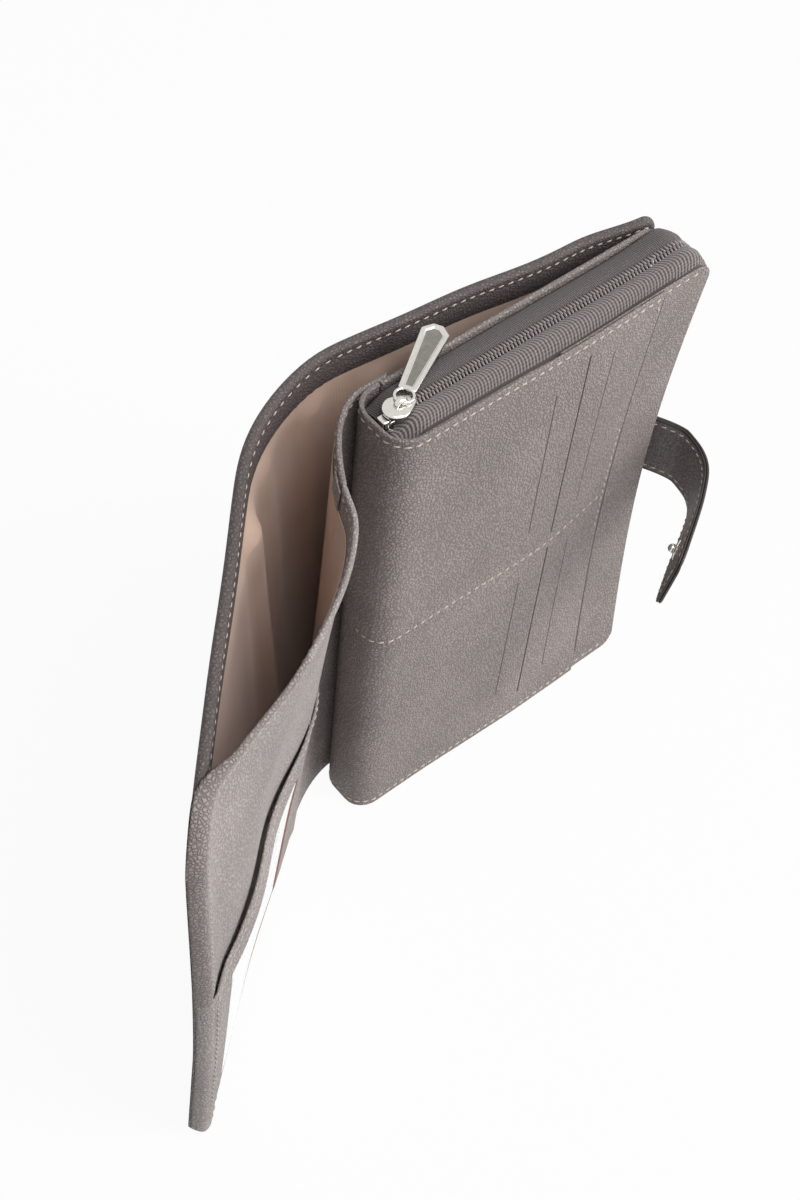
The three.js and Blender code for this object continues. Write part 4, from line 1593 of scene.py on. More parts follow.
    def line(self, name: str, leather: Piece, skin: Skin, short: float, corner: Pair) -> None:
        """Makes the lining behind a leather of the pocket.

        Args:
            name: the solid that it replaces.
            leather: not used.
            skin: the leather's surface.
            short: how far it stops before the leather's far end.
            corner: radii of its corners at the far end.
        """
        low, high = self.lining_low, DRAWING.height - self.hem
        face = -self.half_thickness - self.lining_gap
        cloth = Sheet(
            skin, low, high, face, face - self.lining_thickness,
            start=self.lining_start, end=skin.length - short, corner_end=corner, edge=0.2,
        )
        piece = dress(cloth.build(f"{name}_cloth"), Finish.LINING, Slot.LINING, name)
        move = self.bend if skin is self.strip_skin else self.flatten
        move(piece)

    def sew(self) -> None:
        """Makes the stitches of strip, panel and ID pocket."""
        strip_thread, thread = Thread(), Thread()
        top, foot = DRAWING.height - self.stitch_in, self.stitch_in
        strip_stop = self.strip_skin.length - self.seam_stitch_in
        for side in Side:
            strip_thread.sew(self.strip, side, [(8.0, top), (strip_stop, top)])
        strip_thread.sew(self.strip, Side.LEFT, [(strip_stop, top - 4.0), (strip_stop, 4.0)])
        self.bend(dress(strip_thread.build("spine_strip_stitches"), Finish.THREAD, Slot.LEATHER))
        stop = self.panel_skin.length - self.free_stitch_in
        corner = self.panel.bend(self.free_stitch_in, True, True)
        for side in Side:
            thread.sew(self.panel, side, [(1.5, top), (corner[0][0] - 6.0, top), corner[0]])
        tack, seam = self.mouth_from - 1.4, self.seam_stitch_in
        over, under = self.mouth + 3.0, self.mouth - self.mouth_stitch_in
        foot_bend = self.pocket.bend(self.free_stitch_in, True, False)[::-1]
        for sheet, places, pitch in (
            (self.panel, [*corner, (stop, over)], 2.7),
            (self.panel, [(seam, top - 4.0), (seam, self.mouth + 4.0)], Thread.PITCH),
            (self.pocket, [(3.0, under), (stop, under)], 2.6),
            (self.panel, [(tack, self.mouth + 0.8), (tack, self.mouth + 5.0)], 1.5),
            (self.pocket, [(stop, self.mouth - 6.0), *foot_bend, (3.0, foot)], Thread.PITCH),
        ):
            thread.sew(sheet, Side.LEFT, places, pitch)
        self.flatten(dress(thread.build("flap_stitches"), Finish.FLAP_THREAD, Slot.LEATHER))


@dataclass
class Block:
    """Zip-round block: front facing with card slots, base panel, back leaf and compartment linings.

    A slot has its distance from the zip side and how much shorter it is than its row at each end.
    front_places are plan points of the soft facing, and beside are distances of mesh lines from a slot.
    """

    facing_edge: float = 20.5
    slots: tuple[Pair, ...] = ((61.0, 9.0), (49.5, 0.0), (38.5, 6.0))
    slot_rows: tuple[Pair, ...] = ((12.0, 94.0), (102.0, 182.0))
    front_places: tuple[Pair, ...] = (
        (-38.5, -0.7), (-49.5, -1.0), (-61.0, -1.1), (-72.0, -1.1), (-84.0, -1.0),
    )
    beside: tuple[float, ...] = (-1.6, -0.7, -0.25, 0.0, 0.05, 0.12, 0.88, 0.95, 1.02, 1.4, 2.2)
    corner: float = 8.0
    foot_corner: float = 5.5
    fold_radius: float = 8.0
    wrap_lap: float = 11.0
    front: float = -0.8
    facing: float = 0.8
    facing_front: float = -0.3
    base_front: float = 0.6
    base_lap: float = 2.0
    base: float = 0.6
    back: float = 1.6
    back_inset: float = 2.0
    butt_gap: float = 0.3
    stitch_in: float = 2.6
    seam_depth: float = 0.22
    seam_width: float = 0.7
    middle: float = 97.5
    turned: float = 0.7
    lining_inset: float = 5.0
    lining_thickness: float = 0.4
    front_lining_gap: float = 0.3
    back_lining_gap: float = 0.8
    tuck: float = 8.0
    cut_width: float = 0.95
    cut_depth: float = 0.2
    cut_end: float = 0.6
    lip: float = 0.22
    lip_fade: float = 5.0
    dip: float = 0.1
    dip_fade: float = 4.0
    edge_shadow: float = 1.5
    shadow_half: float = 88.0

    def __post_init__(self) -> None:
        """Draws the block's leathers."""
        width, depth, radius = DRAWING.block_width, DRAWING.block_depth, self.fold_radius
        centre = -width + radius
        quarter = np.linspace(0.0, math.pi / 2, 17)
        across, rise = radius * np.sin(quarter), radius * np.cos(quarter)
        front_arc = np.stack([centre - across, self.front + radius - rise], axis=-1)
        back_arc = np.stack([centre - rise, depth - radius + across], axis=-1)
        slope = through([(-self.facing_edge, self.facing_front), *self.front_places])
        plan = joined(
            slope, straight(slope[-1], front_arc[0]), front_arc, straight(front_arc[-1], back_arc[0]),
            back_arc, straight(back_arc[-1], (-width + self.wrap_lap, depth)),
        )
        self.front_skin = Skin(plan, plan, DRAWING.pressed)
        marks = self.front_skin.marks[: len(slope)]
        self.cuts = [
            (float(np.interp(slot, -slope[:, 0], marks)), low + short, high - short)
            for slot, short in self.slots
            for low, high in self.slot_rows
        ]
        ends = {end for _, *pair in self.cuts for end in pair}
        self.facing_sheet = Sheet(
            self.front_skin, 0.0, DRAWING.height, 0.0, -self.facing, edge=0.75, spacing=2.4,
            columns=[cut - past for cut in sorted({cut for cut, *_ in self.cuts}) for past in self.beside],
            rows=sorted({(end + step) / DRAWING.height for end in ends for step in (-0.8, 0.0, 0.8)}),
            left_relief=self.slotted, right_relief=self.thickened,
        )
        behind = slope[slope[:, 0] >= -DRAWING.first_mouth] + np.array([0.0, self.facing + 0.1])
        beside_zip = straight((0.0, self.base_front), (-self.facing_edge + self.base_lap, self.base_front))
        base_plan = joined(beside_zip, behind)
        round_corners = (self.foot_corner, self.corner)
        self.base_sheet = Sheet(
            Skin(base_plan, base_plan, DRAWING.pressed), 0.0, DRAWING.height, 0.0, -self.base,
            corner_start=round_corners, edge=0.5, spacing=2.4, left_relief=self.base_relief,
            columns=[self.facing_edge - share * self.edge_shadow for share in (1.0, 0.5, 0.0)],
        )
        back_plan = straight((-self.back_inset, depth), (-width + self.wrap_lap + self.butt_gap, depth))
        self.back_sheet = Sheet(
            Skin(back_plan, back_plan, DRAWING.pressed), 0.0, DRAWING.height, self.back, 0.0,
            corner_start=round_corners, edge=0.7, spacing=4.0,
        )

    def base_relief(self, along: Array, up: Array) -> Array:
        """Seam drawn into the leather at head and foot."""
        near = np.minimum(up, DRAWING.height - up)
        return -self.seam_depth * ridge(near, self.stitch_in, self.seam_width)

    def slotted(self, along: Array, up: Array) -> Array:
        """Card slots as cuts with a raised lip, and seams drawn in.

        Args:
            along: distances along the facing.
            up: heights.

        Returns:
            How far the facing is raised.
        """
        relief = self.base_relief(along, up)
        relief = relief - self.seam_depth * ridge(up, self.middle, 0.8) * smoothstep(along, 1.0, 3.0)
        for cut, low, high in self.cuts:
            soft, past = self.cut_end, along - cut
            inside = smoothstep(up, low - soft, low + soft) * smoothstep(up, high + soft, high - soft)
            lip = self.lip * np.exp(-np.maximum(past, 0.0) / self.lip_fade) * (past >= -1e-6)
            groove = self.cut_depth * ((past < -0.1) & (past > -self.cut_width + 0.02))
            groove = groove + self.dip * np.exp(np.minimum(past, 0.0) / self.dip_fade) * (past < 0)
            relief = relief + inside * (lip - groove)
        return relief

    def thickened(self, along: Array, up: Array) -> Array:
        """Turned edge at head and foot, which thickens the leather inwards past the card slots."""
        near = np.minimum(up, DRAWING.height - up)
        return self.turned * smoothstep(near, 6.0, 3.0) * smoothstep(along, 40.0, 55.0)

    def in_slot(self, along: Array, up: Array) -> Array:
        """Tells which places are in a card slot.

        Args:
            along: distances along the facing.
            up: heights.

        Returns:
            True for each place in a slot.
        """
        found = np.zeros(along.shape, bool)
        for cut, low, high in self.cuts:
            found |= (along < cut - 0.01) & (along > cut - self.cut_width - 0.02) & (up > low) & (up < high)
        return found

    def in_tight_slot(self, along: Array, up: Array) -> Array:
        """Tells which places are in a card slot that is nearly shut, whose painted shade is softer so that it
        shows less.
        """
        wide = [cut for cut, low, _ in self.cuts if low == self.slot_rows[0][0]]
        return self.in_slot(along, up) & (np.abs(along - wide[0]) > 2.0)

    def beside_facing(self, along: Array, up: Array) -> Array:
        """Tells which places of the base panel are in the shadow of the facing's edge."""
        near = self.facing_edge - along
        return (near < self.edge_shadow) & (near > -1.0) & (np.abs(up - self.middle) < self.shadow_half)

    def build(self) -> None:
        """Makes the leathers, linings and stitches of the block."""
        facing = dress(
            self.facing_sheet.build("front_facing"), Finish.LEATHER, Slot.LEATHER,
            "front_wrap", "card_layer_2", "card_layer_3", "card_layer_4",
        )
        # Painted shade: the card slots' grooves are painted dark, and softer in the nearly shut slots.
        paint(facing, Finish.DARK_EDGE, self.in_slot)
        paint(facing, Finish.WORN_EDGE, self.in_tight_slot)
        base = dress(self.base_sheet.build("front_base"), Finish.LEATHER, Slot.LEATHER, "front_panel")
        # Painted shadow: a dark strip on the base beside the facing's edge.
        paint(base, Finish.DARK_EDGE, self.beside_facing)
        back = dress(self.back_sheet.build("back_leaf_leather"), Finish.LEATHER, Slot.LEATHER, "back_leaf")
        for piece in (facing, base, back):
            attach(piece, "case")
        front_depth = self.base_front + self.base + self.front_lining_gap
        back_depth = DRAWING.block_depth - self.back - self.back_lining_gap
        self.line("compartment_lining_front", front_depth, base)
        self.line("compartment_lining_back", back_depth, back)
        self.sew()

    def line(self, name: str, depth: float, leather: Piece) -> None:
        """Makes a lining of the zip compartment.

        Args:
            name: the solid that it replaces.
            depth: its depth in the block.
            leather: not used.
        """
        inset = self.lining_inset
        long, tall = DRAWING.block_width - self.tuck - inset, DRAWING.height - 2 * inset
        plan = straight((-inset, depth), (-inset - long, depth))
        cloth = Sheet(
            Skin(plan, plan, DRAWING.pressed), inset, DRAWING.height - inset, 0.0, -self.lining_thickness,
            edge=0.2, spacing=5.0,
        )
        lining = dress(cloth.build(f"{name}_cloth"), Finish.LINING, Slot.LINING, name)
        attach(lining, "case")

    def sew(self) -> None:
        """Makes the stitches of facing and base panel."""
        thread = Thread()
        foot, top = self.stitch_in, DRAWING.height - self.stitch_in
        stop, reach = self.front_skin.length - 6.0, self.facing_edge - 1.0
        for sheet, places in (
            (self.facing_sheet, [(0.8, foot), (stop, foot)]),
            (self.facing_sheet, [(0.8, top), (stop, top)]),
            (self.facing_sheet, [(3.0, self.middle), (stop - 12.0, self.middle)]),
            (self.facing_sheet, [(1.8, 80.0), (1.8, 130.0)]),
            (self.facing_sheet, [(1.6, DRAWING.height - 9.0), (1.6, top - 2.0)]),
            (self.base_sheet, [(reach, foot), (self.foot_corner, foot)]),
            (self.base_sheet, [(reach, top), (self.foot_corner, top)]),
        ):
            thread.sew(sheet, Side.LEFT, places)
        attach(dress(thread.build("block_stitches"), Finish.THREAD, Slot.LEATHER), "case")


@dataclass
class Zip:
    """Coil zip round three sides of the block, with stops, slider and puller.

    leather_x and leather_y are plan points of the inside of the front leather, which the front tape follows.
    """

    start: float = 4.0
    chain_start: float = 6.0
    corner: float = 8.0
    middle: float = 11.0
    front_from: float = 0.9
    back_to: float = 20.2
    chain_half: float = 1.75
    tape_to_middle: float = 1.35
    tape_half: float = 0.4
    tape_hump: float = 0.8
    tape_rise: float = 8.4
    end_tuck: float = 3.5
    sewn_front: float = 2.0
    sewn_back: float = 0.8
    corner_stand: float = 1.3
    stand_width: float = 13.0
    tooth_pitch: float = 1.25
    turn_size: Triple = (0.86, 2.05, 1.15)
    turn_slant: float = 0.22
    turn_off: float = 0.78
    turn_sink: float = 0.3
    stop_size: Triple = (2.3, 3.3, 2.8)
    stop_from_fold: float = 6.2
    stop_in: float = 1.7
    slider_from_start: float = 12.0
    plate: float = 1.2
    plate_low: float = 185.3
    plate_high: float = 190.1
    plate_radius: float = 4.0
    post_size: Pair = (3.0, 0.4)
    post_back: float = 2.0
    puller_length: float = 30.0
    puller_thickness: float = 1.2
    puller_level: float = 192.3
    puller_swing: float = 30.0
    eye_at: float = 2.6
    leather_x: tuple[float, ...] = (-117.0, -111.0, -79.0, -72.0, -61.0, -49.5, -38.5, -28.0, 0.0)
    leather_y: tuple[float, ...] = (1.4, 0.6, 0.3, -0.1, -0.3, -0.2, 0.2, 0.9, 0.9)

    def __post_init__(self) -> None:
        """Draws the tapes' surface."""
        self.skin = ZipSkin(self.start, self.corner, self.tape_sink, self.tape_reach)
        self.slider_at = -DRAWING.block_width + self.slider_from_start

    def stand(self, along: Array) -> Array:
        """Share of the zip's full stand, which is at the head corner of the zip side."""
        turn = DRAWING.block_width - self.start - 0.2 * self.corner
        return ridge(along, turn, self.stand_width)

    def tape_sink(self, along: Array, up: Array) -> Array:
        """How deep the tape lies: low at the leathers, high at the chain, tucked in at its ends.

        Args:
            along: distances along the zip.
            up: depths from the block's front.

        Returns:
            The depths under the block's edge.
        """
        away = np.abs(np.asarray(up, float) - self.middle)
        slope = 0.9 + 2.2 * smoothstep(away, 3.0, 10.5)
        share = np.clip((away - self.chain_half) / self.tape_rise, 0.0, 1.0)
        hump = self.tape_hump * np.sin(np.pi * share)
        ends = np.minimum(along, self.skin.length - along)
        stand = self.stand(along)
        proud = self.corner_stand * stand * (1.0 - 0.5 * smoothstep(away, self.chain_half, 9.0))
        tuck = self.end_tuck * smoothstep(ends, 9.0, 0.0)
        return slope * (1.0 - 0.6 * stand) - hump - proud + tuck

    def tape_reach(self, along: Array, up: Array) -> Array:
        """How far the front tape comes forwards to lie behind the front leather."""
        x = np.interp(along, self.skin.marks, self.skin.route[:, 0])
        inner = np.interp(x, self.leather_x, self.leather_y)
        return (self.front_from - inner) * smoothstep(up, 7.0, self.front_from)

    def under_leather(self, along: Array, up: Array) -> Array:
        """Tells which places of the tapes are in the shadow of the leathers that they are sewn to."""
        front = self.front_from + self.sewn_front - self.stand(along)
        return (up < front) | (up > self.back_to - self.sewn_back)

    def build(self) -> None:
        """Makes tapes, coils, stops, slider and puller."""
        inner = self.tape_to_middle
        for side, way, low, high, finish in (
            ("front", 1.0, self.front_from, self.middle - inner, Finish.TAPE),
            ("back", -1.0, self.middle + inner, self.back_to, Finish.BACK_TAPE),
        ):
            tape = Sheet(self.skin, low, high, self.tape_half, -self.tape_half, edge=0.35, spacing=1.6)
            piece = dress(tape.build(f"zip_tape_{side}_cloth"), finish, Slot.TAPE, f"zip_tape_{side}")
            # Painted shadow: the tapes are painted dark where the leathers they are sewn to shade them.
            paint(piece, Finish.DARK_EDGE, self.under_leather)
            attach(piece, "case")
            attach(dress(self.coil(side, way), Finish.COIL, Slot.COIL, f"zip_coil_{side}"), "case")
        self.stops()
        self.slider()
        self.puller()

    def coil(self, side: str, way: float) -> Piece:
        """One coil as a row of turns that reach past the chain's middle.

        Args:
            side: front or back.
            way: 1 for the front, whose turns lean on, or -1 for the back, set off by half a pitch.

        Returns:
            The new object.
        """
        form, rings = bead(self.turn_size, "X")
        form[:, 0] += self.turn_slant * way * form[:, 1]
        form[:, 2] *= np.where(form[:, 2] < 0, 0.9, 1.0)
        first = self.chain_start - self.start + (0.0 if way > 0 else self.tooth_pitch / 2)
        places = np.arange(first, self.skin.length - first, self.tooth_pitch)[:, None]
        along = places + form[:, 0]
        depth = self.middle - way * self.turn_off + form[:, 1] * np.ones_like(along)
        rise = form[:, 2] + self.corner_stand * self.stand(places) - self.turn_sink
        return copied(f"zip_coil_{side}_turns", self.skin.raised(along, depth, rise), rings)

    def stops(self) -> None:
        """Crimped metal stops at both ends of the chain."""
        low, high = self.stop_in, DRAWING.height - self.stop_in
        for name, level in (("zip_stop_top", high), ("zip_stop_bottom", low)):
            stop = added(bpy.ops.mesh.primitive_cube_add, f"{name}_metal", size=MM, scale=self.stop_size)
            edit(stop)
            bpy.ops.mesh.subdivide(number_cuts=2)
            leave()
            soften(stop, 0.5)
            settle(stop, (-DRAWING.block_width + self.stop_from_fold, self.middle, level))
            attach(dress(stop, Finish.NICKEL, Slot.NICKEL, name), "case")

    def slider_plate(self, level: float, inset: bool) -> Piece:
        """One plate of the slider, drawn out into a teardrop.

        Args:
            level: height of its underside.
            inset: whether its top has a raised field.

        Returns:
            The new object.
        """
        plate = added(
            bpy.ops.mesh.primitive_cylinder_add, "slider_body_metal", vertices=40,
            radius=self.plate_radius * MM, depth=self.plate * MM,
        )
        for corner in plate.data.vertices:
            share = float(smoothstep(corner.co.x / MM, -1.0, self.plate_radius))
            corner.co.x = corner.co.x * 1.15 - 0.9 * MM + share * 1.3 * MM
            corner.co.y *= 1.0 - 0.36 * share
        if inset:
            edit(plate, lambda face: face.normal.z > 0.9)
            bpy.ops.mesh.inset(thickness=0.9 * MM, depth=0.35 * MM)
            leave()
        soften(plate, 0.3)
        settle(plate, (self.slider_at, self.middle, level + self.plate / 2))
        return plate

    def slider(self) -> None:
        """Teardrop slider with an arched bridge."""
        low, high = self.plate_low, self.plate_high
        body, upper = self.slider_plate(low, False), self.slider_plate(high, True)
        post_size = (*self.post_size, high - low)
        post = added(bpy.ops.mesh.primitive_cube_add, "slider_post", size=MM, scale=post_size)
        soften(post, 0.1, 2)
        settle(post, (self.slider_at - self.post_back, self.middle, (low + high + self.plate) / 2))
        join(body, upper, post)
        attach(dress(body, Finish.NICKEL, Slot.NICKEL, "slider_body"), "slider")
        bridge = added(
            bpy.ops.mesh.primitive_torus_add, "slider_bridge_metal", major_radius=1.9 * MM,
            minor_radius=0.5 * MM, major_segments=40, minor_segments=14, rotation=(math.pi / 2, 0, 0),
        )
        edit(bridge)
        bpy.ops.mesh.bisect(plane_co=(0, 0, 0), plane_no=(0, 0, 1), clear_inner=True, use_fill=True)
        bpy.ops.mesh.select_all(action="SELECT")
        bpy.ops.transform.resize(value=(1.0, 1.9, 1.2))
        leave()
        shade(bridge)
        settle(bridge, (self.slider_at, self.middle, high + self.plate + 0.05))
        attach(dress(bridge, Finish.NICKEL, Slot.NICKEL, "slider_bridge"), "slider")

    def puller_plate(self) -> Piece:
        """The puller's tapered plate, with a chamfered tip and a bare recess.

        Returns:
            The new object, about its hinge.
        """
        near, far, neck, tip, chamfer = 4.6, self.puller_length, 2.5, 4.0, 2.6
        half = [(near, neck), (far - chamfer, tip), (far, tip - chamfer)]
        outline = [(x, -y) for x, y in half] + half[::-1]
        low = -self.puller_thickness / 2 * MM
        corners = [(x * MM, y * MM, low) for x, y in outline]
        plate = linked("puller_metal", corners, [], [list(range(len(corners)))])
        edit(plate)
        bpy.ops.mesh.extrude_region_move(TRANSFORM_OT_translate={"value": (0, 0, self.puller_thickness * MM)})
        bpy.ops.mesh.select_all(action="SELECT")
        bpy.ops.mesh.normals_make_consistent(inside=False)
        leave()
        edit(plate, lambda face: face.normal.z > 0.9)
        bpy.ops.mesh.inset(thickness=1.15 * MM)
        bpy.ops.mesh.inset(thickness=0.25 * MM, depth=-0.4 * MM)
        leave()
        soften(plate, 0.22)
        return plate

    def puller(self) -> None:
        """Puller with its wire eye, at an angle to the chain."""
        plate = self.puller_plate()
        middle = (self.eye_at * MM, 0, 0)
        eye = added(
            bpy.ops.mesh.primitive_torus_add, "puller_eye", major_radius=2.35 * MM,
            minor_radius=0.42 * MM, major_segments=36, minor_segments=12, location=middle,
        )
        edit(eye)
        bpy.ops.transform.resize(value=(1.1, 1.12, 1.1), center_override=middle)
        leave()
        bpy.ops.object.shade_smooth()
        join(plate, eye)
        swung = Matrix.Rotation(math.radians(self.puller_swing), 3, "Z")
        settle(plate, (self.slider_at, self.middle, self.puller_level), swung)
        dress(plate, Finish.NICKEL, Slot.NICKEL, "puller")
        plate.data.materials.append(Finish.RECESS.material)
        floor = (self.puller_level + self.puller_thickness / 4) * MM
        for face in plate.data.polygons:
            if face.normal.z > 0.9 and face.center.z < floor and face.area > 20.0 * MM**2:
                face.material_index = 1
        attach(plate, "puller")


@dataclass
class Strap:
    """Strap from behind the block round the zip side, with ball stud and cap, and the socket on the flap.

    socket and eyelet are half profiles, as pairs of radius and height.
    """

    low: float = 82.0
    width: float = 25.0
    tail: float = 10.0
    tail_depth: float = 23.15
    tail_turn: Pair = (-2.0, 1.5)
    hinge: Pair = (11.3, 0.8)
    hinge_lead: float = 6.0
    bends: tuple[Pair, ...] = ((9.4, -7.0), (5.1, -13.1), (-3.8, -19.3), (-16.8, -26.8))
    tip: Pair = (-30.0, -34.5)
    tip_corner: float = 6.0
    tip_lean: float = 0.14
    outer_faces: Pair = (0.85, -0.1)
    inner_faces: Pair = (-0.2, -0.85)
    inked: float = 0.7
    stitch_in: float = 2.4
    seam_depth: float = 0.15
    seam_width: float = 0.6
    blend_from: float = 5.0
    blend_to: float = -4.0
    stud_from_tip: float = 15.5
    socket_from_edge: float = 21.0
    socket: tuple[Pair, ...] = (
        (2.95, 0.0), (5.5, 0.0), (5.5, 0.5), (5.2, 0.9), (4.2, 1.2), (3.6, 2.3), (3.2, 2.6), (2.7, 2.2),
        (2.7, 0.9), (2.95, 0.0),
    )
    eyelet: tuple[Pair, ...] = (
        (1.5, 0.0), (4.5, 0.0), (4.5, 0.25), (3.9, 0.6), (2.0, 0.7), (1.5, 0.45), (1.5, 0.0),
    )
    eyelet_stand: float = 1.4

    def __post_init__(self) -> None:
        """Draws both leathers of the strap."""
        start, control = ((at, self.tail_depth) for at in self.tail_turn)
        tail = joined(
            straight((-self.tail, self.tail_depth), start, 12),
            curved([start, control, (self.hinge[0], self.hinge_lead), self.hinge]),
        )
        plan = joined(tail, through([self.hinge, *self.bends, self.tip], 16))
        ahead = np.gradient(plan, axis=0)
        outwards = unit(np.stack([-ahead[:, 1], ahead[:, 0]], axis=-1))
        lean = self.tip_lean * smoothstep(self.hinge[1] - plan[:, 1], 6.0, 28.0)[:, None] * outwards
        high = self.low + self.width
        self.middle = (self.low + high) / 2
        self.skin = Skin(plan - self.middle * lean, plan + (DRAWING.height - self.middle) * lean)
        round_tip = (self.tip_corner, self.tip_corner)
        self.outer = Sheet(
            self.skin, self.low, high, *self.outer_faces, corner_end=round_tip, edge=0.45, spacing=1.6,
            left_relief=self.seamed,
        )
        self.inner = Sheet(
            self.skin, self.low, high, *self.inner_faces, corner_end=round_tip, edge=0.4, spacing=1.6,
        )

    def seamed(self, along: Array, up: Array) -> Array:
        """Seams drawn into the strap's outside along both edges."""
        near = np.minimum(up - self.low, self.low + self.width - up)
        return -self.seam_depth * ridge(near, self.stitch_in, self.seam_width)

    def build(self, cover: Cover) -> None:
        """Makes strap leathers, stitches and snap.

        Args:
            cover: the cover that carries the socket.
        """
        outside, inside = self.outer.build("strap_outside"), self.inner.build("strap_inside")
        dress(outside, Finish.LEATHER, Slot.LEATHER, "strap_tail", "strap_tab")
        dress(inside, Finish.STRAP_INSIDE, Slot.LEATHER, "strap_tab_lining")
        for sheet, piece in ((self.outer, outside), (self.inner, inside)):
            paint(piece, Finish.INKED_EDGE, lambda *place, cut=sheet: cut.edge_distance(*place) < self.inked)
        stitches = dress(self.sew().build("strap_stitches"), Finish.THREAD, Slot.LEATHER)
        for piece in (outside, inside, stitches):
            bend(piece)
        at, level = np.array([self.skin.length - self.stud_from_tip]), np.array([self.middle])
        place, _, _, left = self.skin.frame(at, level)
        stand = left[0] * self.outer_faces[0]
        self.fit("snap_stud", self.stud_profile(), place[0] - stand, -left[0], "strap")
        self.fit("stud_cap", self.cap_profile(), place[0] + stand, left[0], "strap")
        at = np.array([cover.skin.length - self.socket_from_edge])
        place, _, _, left = cover.skin.frame(at, level)
        outer_face = cover.leather.faces_at(at, level)[1][0]
        self.fit("snap_socket", self.socket, place[0] + left[0] * outer_face, -left[0], "flap")
        self.fit("socket_eyelet", self.eyelet, place[0] + left[0] * self.eyelet_stand, left[0], "flap")

    def sew(self) -> Thread:
        """Sews both faces along the edges and across the tip.

        Returns:
            The stitches.
        """
        thread = Thread()
        stop, high = self.skin.length - self.stitch_in, self.low + self.width
        for sheet, side in ((self.outer, Side.LEFT), (self.inner, Side.RIGHT)):
            for level in (self.low + self.stitch_in, high - self.stitch_in):
                thread.sew(sheet, side, [(12.0, level), (stop - 2.0, level)])
            thread.sew(sheet, side, [(stop, self.low + 5.5), (stop, high - 5.5)])
        return thread

    @staticmethod
    def fit(name: str, profile: Profile, place: Array, way: Array, body: str) -> None:
        """Makes a round metal piece of the snap."""
        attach(dress(turned(f"{name}_metal", profile, place, way), Finish.NICKEL, Slot.NICKEL, name), body)

    @staticmethod
    def stud_profile() -> Profile:
        """Ball stud with its flange.

        Returns:
            Its half profile.
        """
        ball, neck, flange = 1.5, 0.95, 3.4
        rise = 0.55 + math.sqrt(ball**2 - neck**2)
        turn = np.linspace(math.pi - math.asin(neck / ball), 0.0, 14)
        foot = [(0.0, 0.0), (flange, 0.0), (flange, 0.25), (flange - 0.5, 0.5), (neck, 0.6)]
        return foot + [(ball * math.sin(angle), rise + ball * math.cos(angle)) for angle in turn]

    @staticmethod
    def cap_profile() -> Profile:
        """Domed cap of the stud.

        Returns:
            Its half profile.
        """
        half, rim, high = 4.5, 0.3, 1.2
        turns = np.linspace(0.0, math.pi / 2, 12)[:-1]
        dome = [(half * math.cos(turn), rim + high * math.sin(turn)) for turn in turns]
        return [(0.0, 0.0), (half, 0.0), *dome, (0.0, rim + high)]


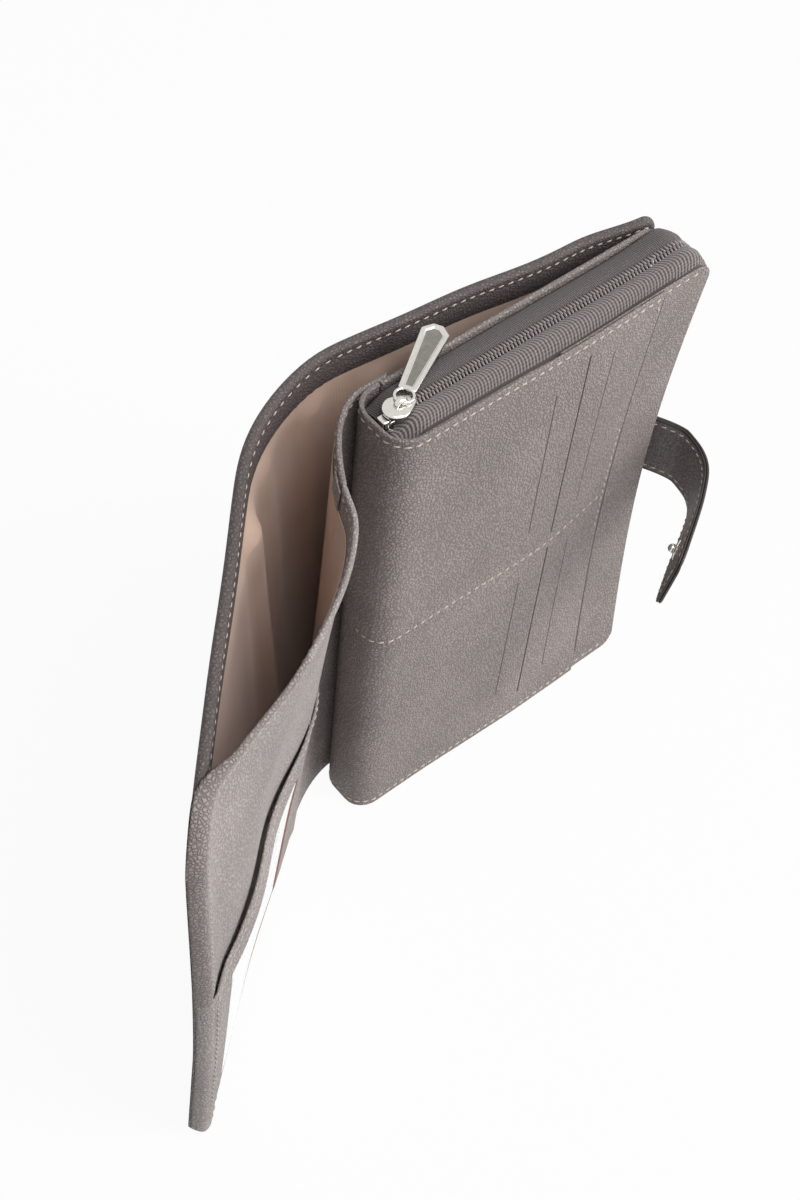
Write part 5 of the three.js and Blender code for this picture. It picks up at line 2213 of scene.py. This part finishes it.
@dataclass
class Studio:
    """White floor, soft light and the camera of the photograph.

    The camera is given in the drawing's millimetres, lamps and floor in metres. A lamp has its name, place,
    size and power.
    """

    camera_at: Triple = (-351.4, -234.1, 575.5)
    forward: Triple = (0.4229, 0.4131, -0.8066)
    right: Triple = (0.763, -0.643, 0.071)
    lens: float = 58.7
    sensor: float = 36.0
    floor_size: float = 8.0
    floor_glow: float = 0.94
    surround_light: float = 0.26
    lamps: tuple[tuple[str, Triple, float, float], ...] = (
        ("low_key", (0.85, -1.0, 0.32), 0.9, 8.0),
        ("high_key", (0.6, -0.9, 1.0), 0.8, 9.0),
        ("top", (0.0, -0.45, 1.4), 0.8, 9.0),
    )

    def build(self) -> None:
        """Sets up view, camera, floor, world and lamps."""
        scene = bpy.context.scene
        scene.view_settings.view_transform = "Standard"
        self.place_camera(scene)
        self.lay_floor()
        self.light(scene)

    def place_camera(self, scene: bpy.types.Scene) -> None:
        """Sets the camera by its place and directions.

        Args:
            scene: the scene that it films.
        """
        ahead = Vector(self.forward).normalized()
        right = Vector(self.right)
        right = (right - ahead * right.dot(ahead)).normalized()
        turn = Matrix((right, right.cross(ahead), -ahead)).transposed()
        data = bpy.data.cameras.new("camera")
        data.lens, data.sensor_fit, data.sensor_height = self.lens, "VERTICAL", self.sensor
        data.clip_start = 0.01
        camera = bpy.data.objects.new("camera", data)
        camera.matrix_world = Matrix.Translation(DRAWING.spot(*self.camera_at)) @ turn.to_4x4()
        scene.collection.objects.link(camera)
        scene.camera = camera

    @staticmethod
    def seen(add: Adder) -> Node:
        """Tells rays that show the surround itself, in the view or in metal and film, from its light.

        Args:
            add: adds nodes to the material or the surround.

        Returns:
            A node that gives 1 for rays that show it.
        """
        rays = add("LightPath").outputs
        shown = rays["Is Camera Ray"]
        for other in ("Is Glossy Ray", "Is Transmission Ray"):
            shown = add("Math", {0: shown, 1: rays[other]}, operation="MAXIMUM")
        return shown

    def lay_floor(self) -> None:
        """White floor that keeps a faint shadow."""
        floor = added(bpy.ops.mesh.primitive_plane_add, "floor", size=self.floor_size)
        material, add, shader = blank("white_paper_floor")
        plug(shader, {"Base Color": linear("#dcdcdc"), "Roughness": 0.9})
        glow = add("Emission", {"Color": linear("#ffffff"), "Strength": 1.0})
        share = add("Math", {0: self.seen(add), 1: self.floor_glow}, operation="MULTIPLY")
        mixed = add("MixShader", {0: share, 1: shader, 2: glow})
        plug(material.node_tree.nodes["Material Output"], {"Surface": mixed})
        floor.data.materials.append(material)

    def light(self, scene: bpy.types.Scene) -> None:
        """White surround with lamps low and high at the front right and one above.

        Args:
            scene: the scene that is lit.
        """
        world = bpy.data.worlds.new("surround")
        world.use_nodes = True
        add = partial(add_node, world.node_tree)
        level = add("MapRange", {0: self.seen(add), 3: self.surround_light, 4: 1.0})
        plug(world.node_tree.nodes["Background"], {"Color": linear("#ffffff"), "Strength": level})
        scene.world = world
        for name, place, size, power in self.lamps:
            lamp = bpy.data.lights.new(name, "AREA")
            lamp.shape, lamp.size, lamp.energy = "DISK", size, power
            holder = bpy.data.objects.new(name, lamp)
            turn = Vector(place).to_track_quat("Z", "Y").to_matrix()
            holder.matrix_world = Matrix.Translation(place) @ turn.to_4x4()
            scene.collection.objects.link(holder)


def main() -> None:
    """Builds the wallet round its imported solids."""
    logging.basicConfig(level=logging.INFO, format="%(name)s: %(message)s")
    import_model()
    Studio().build()
    cover = Cover()
    cover.build()
    InnerLeather().build()
    Block().build()
    Zip().build()
    Strap().build(cover)


if __name__ == "__main__":
    main()
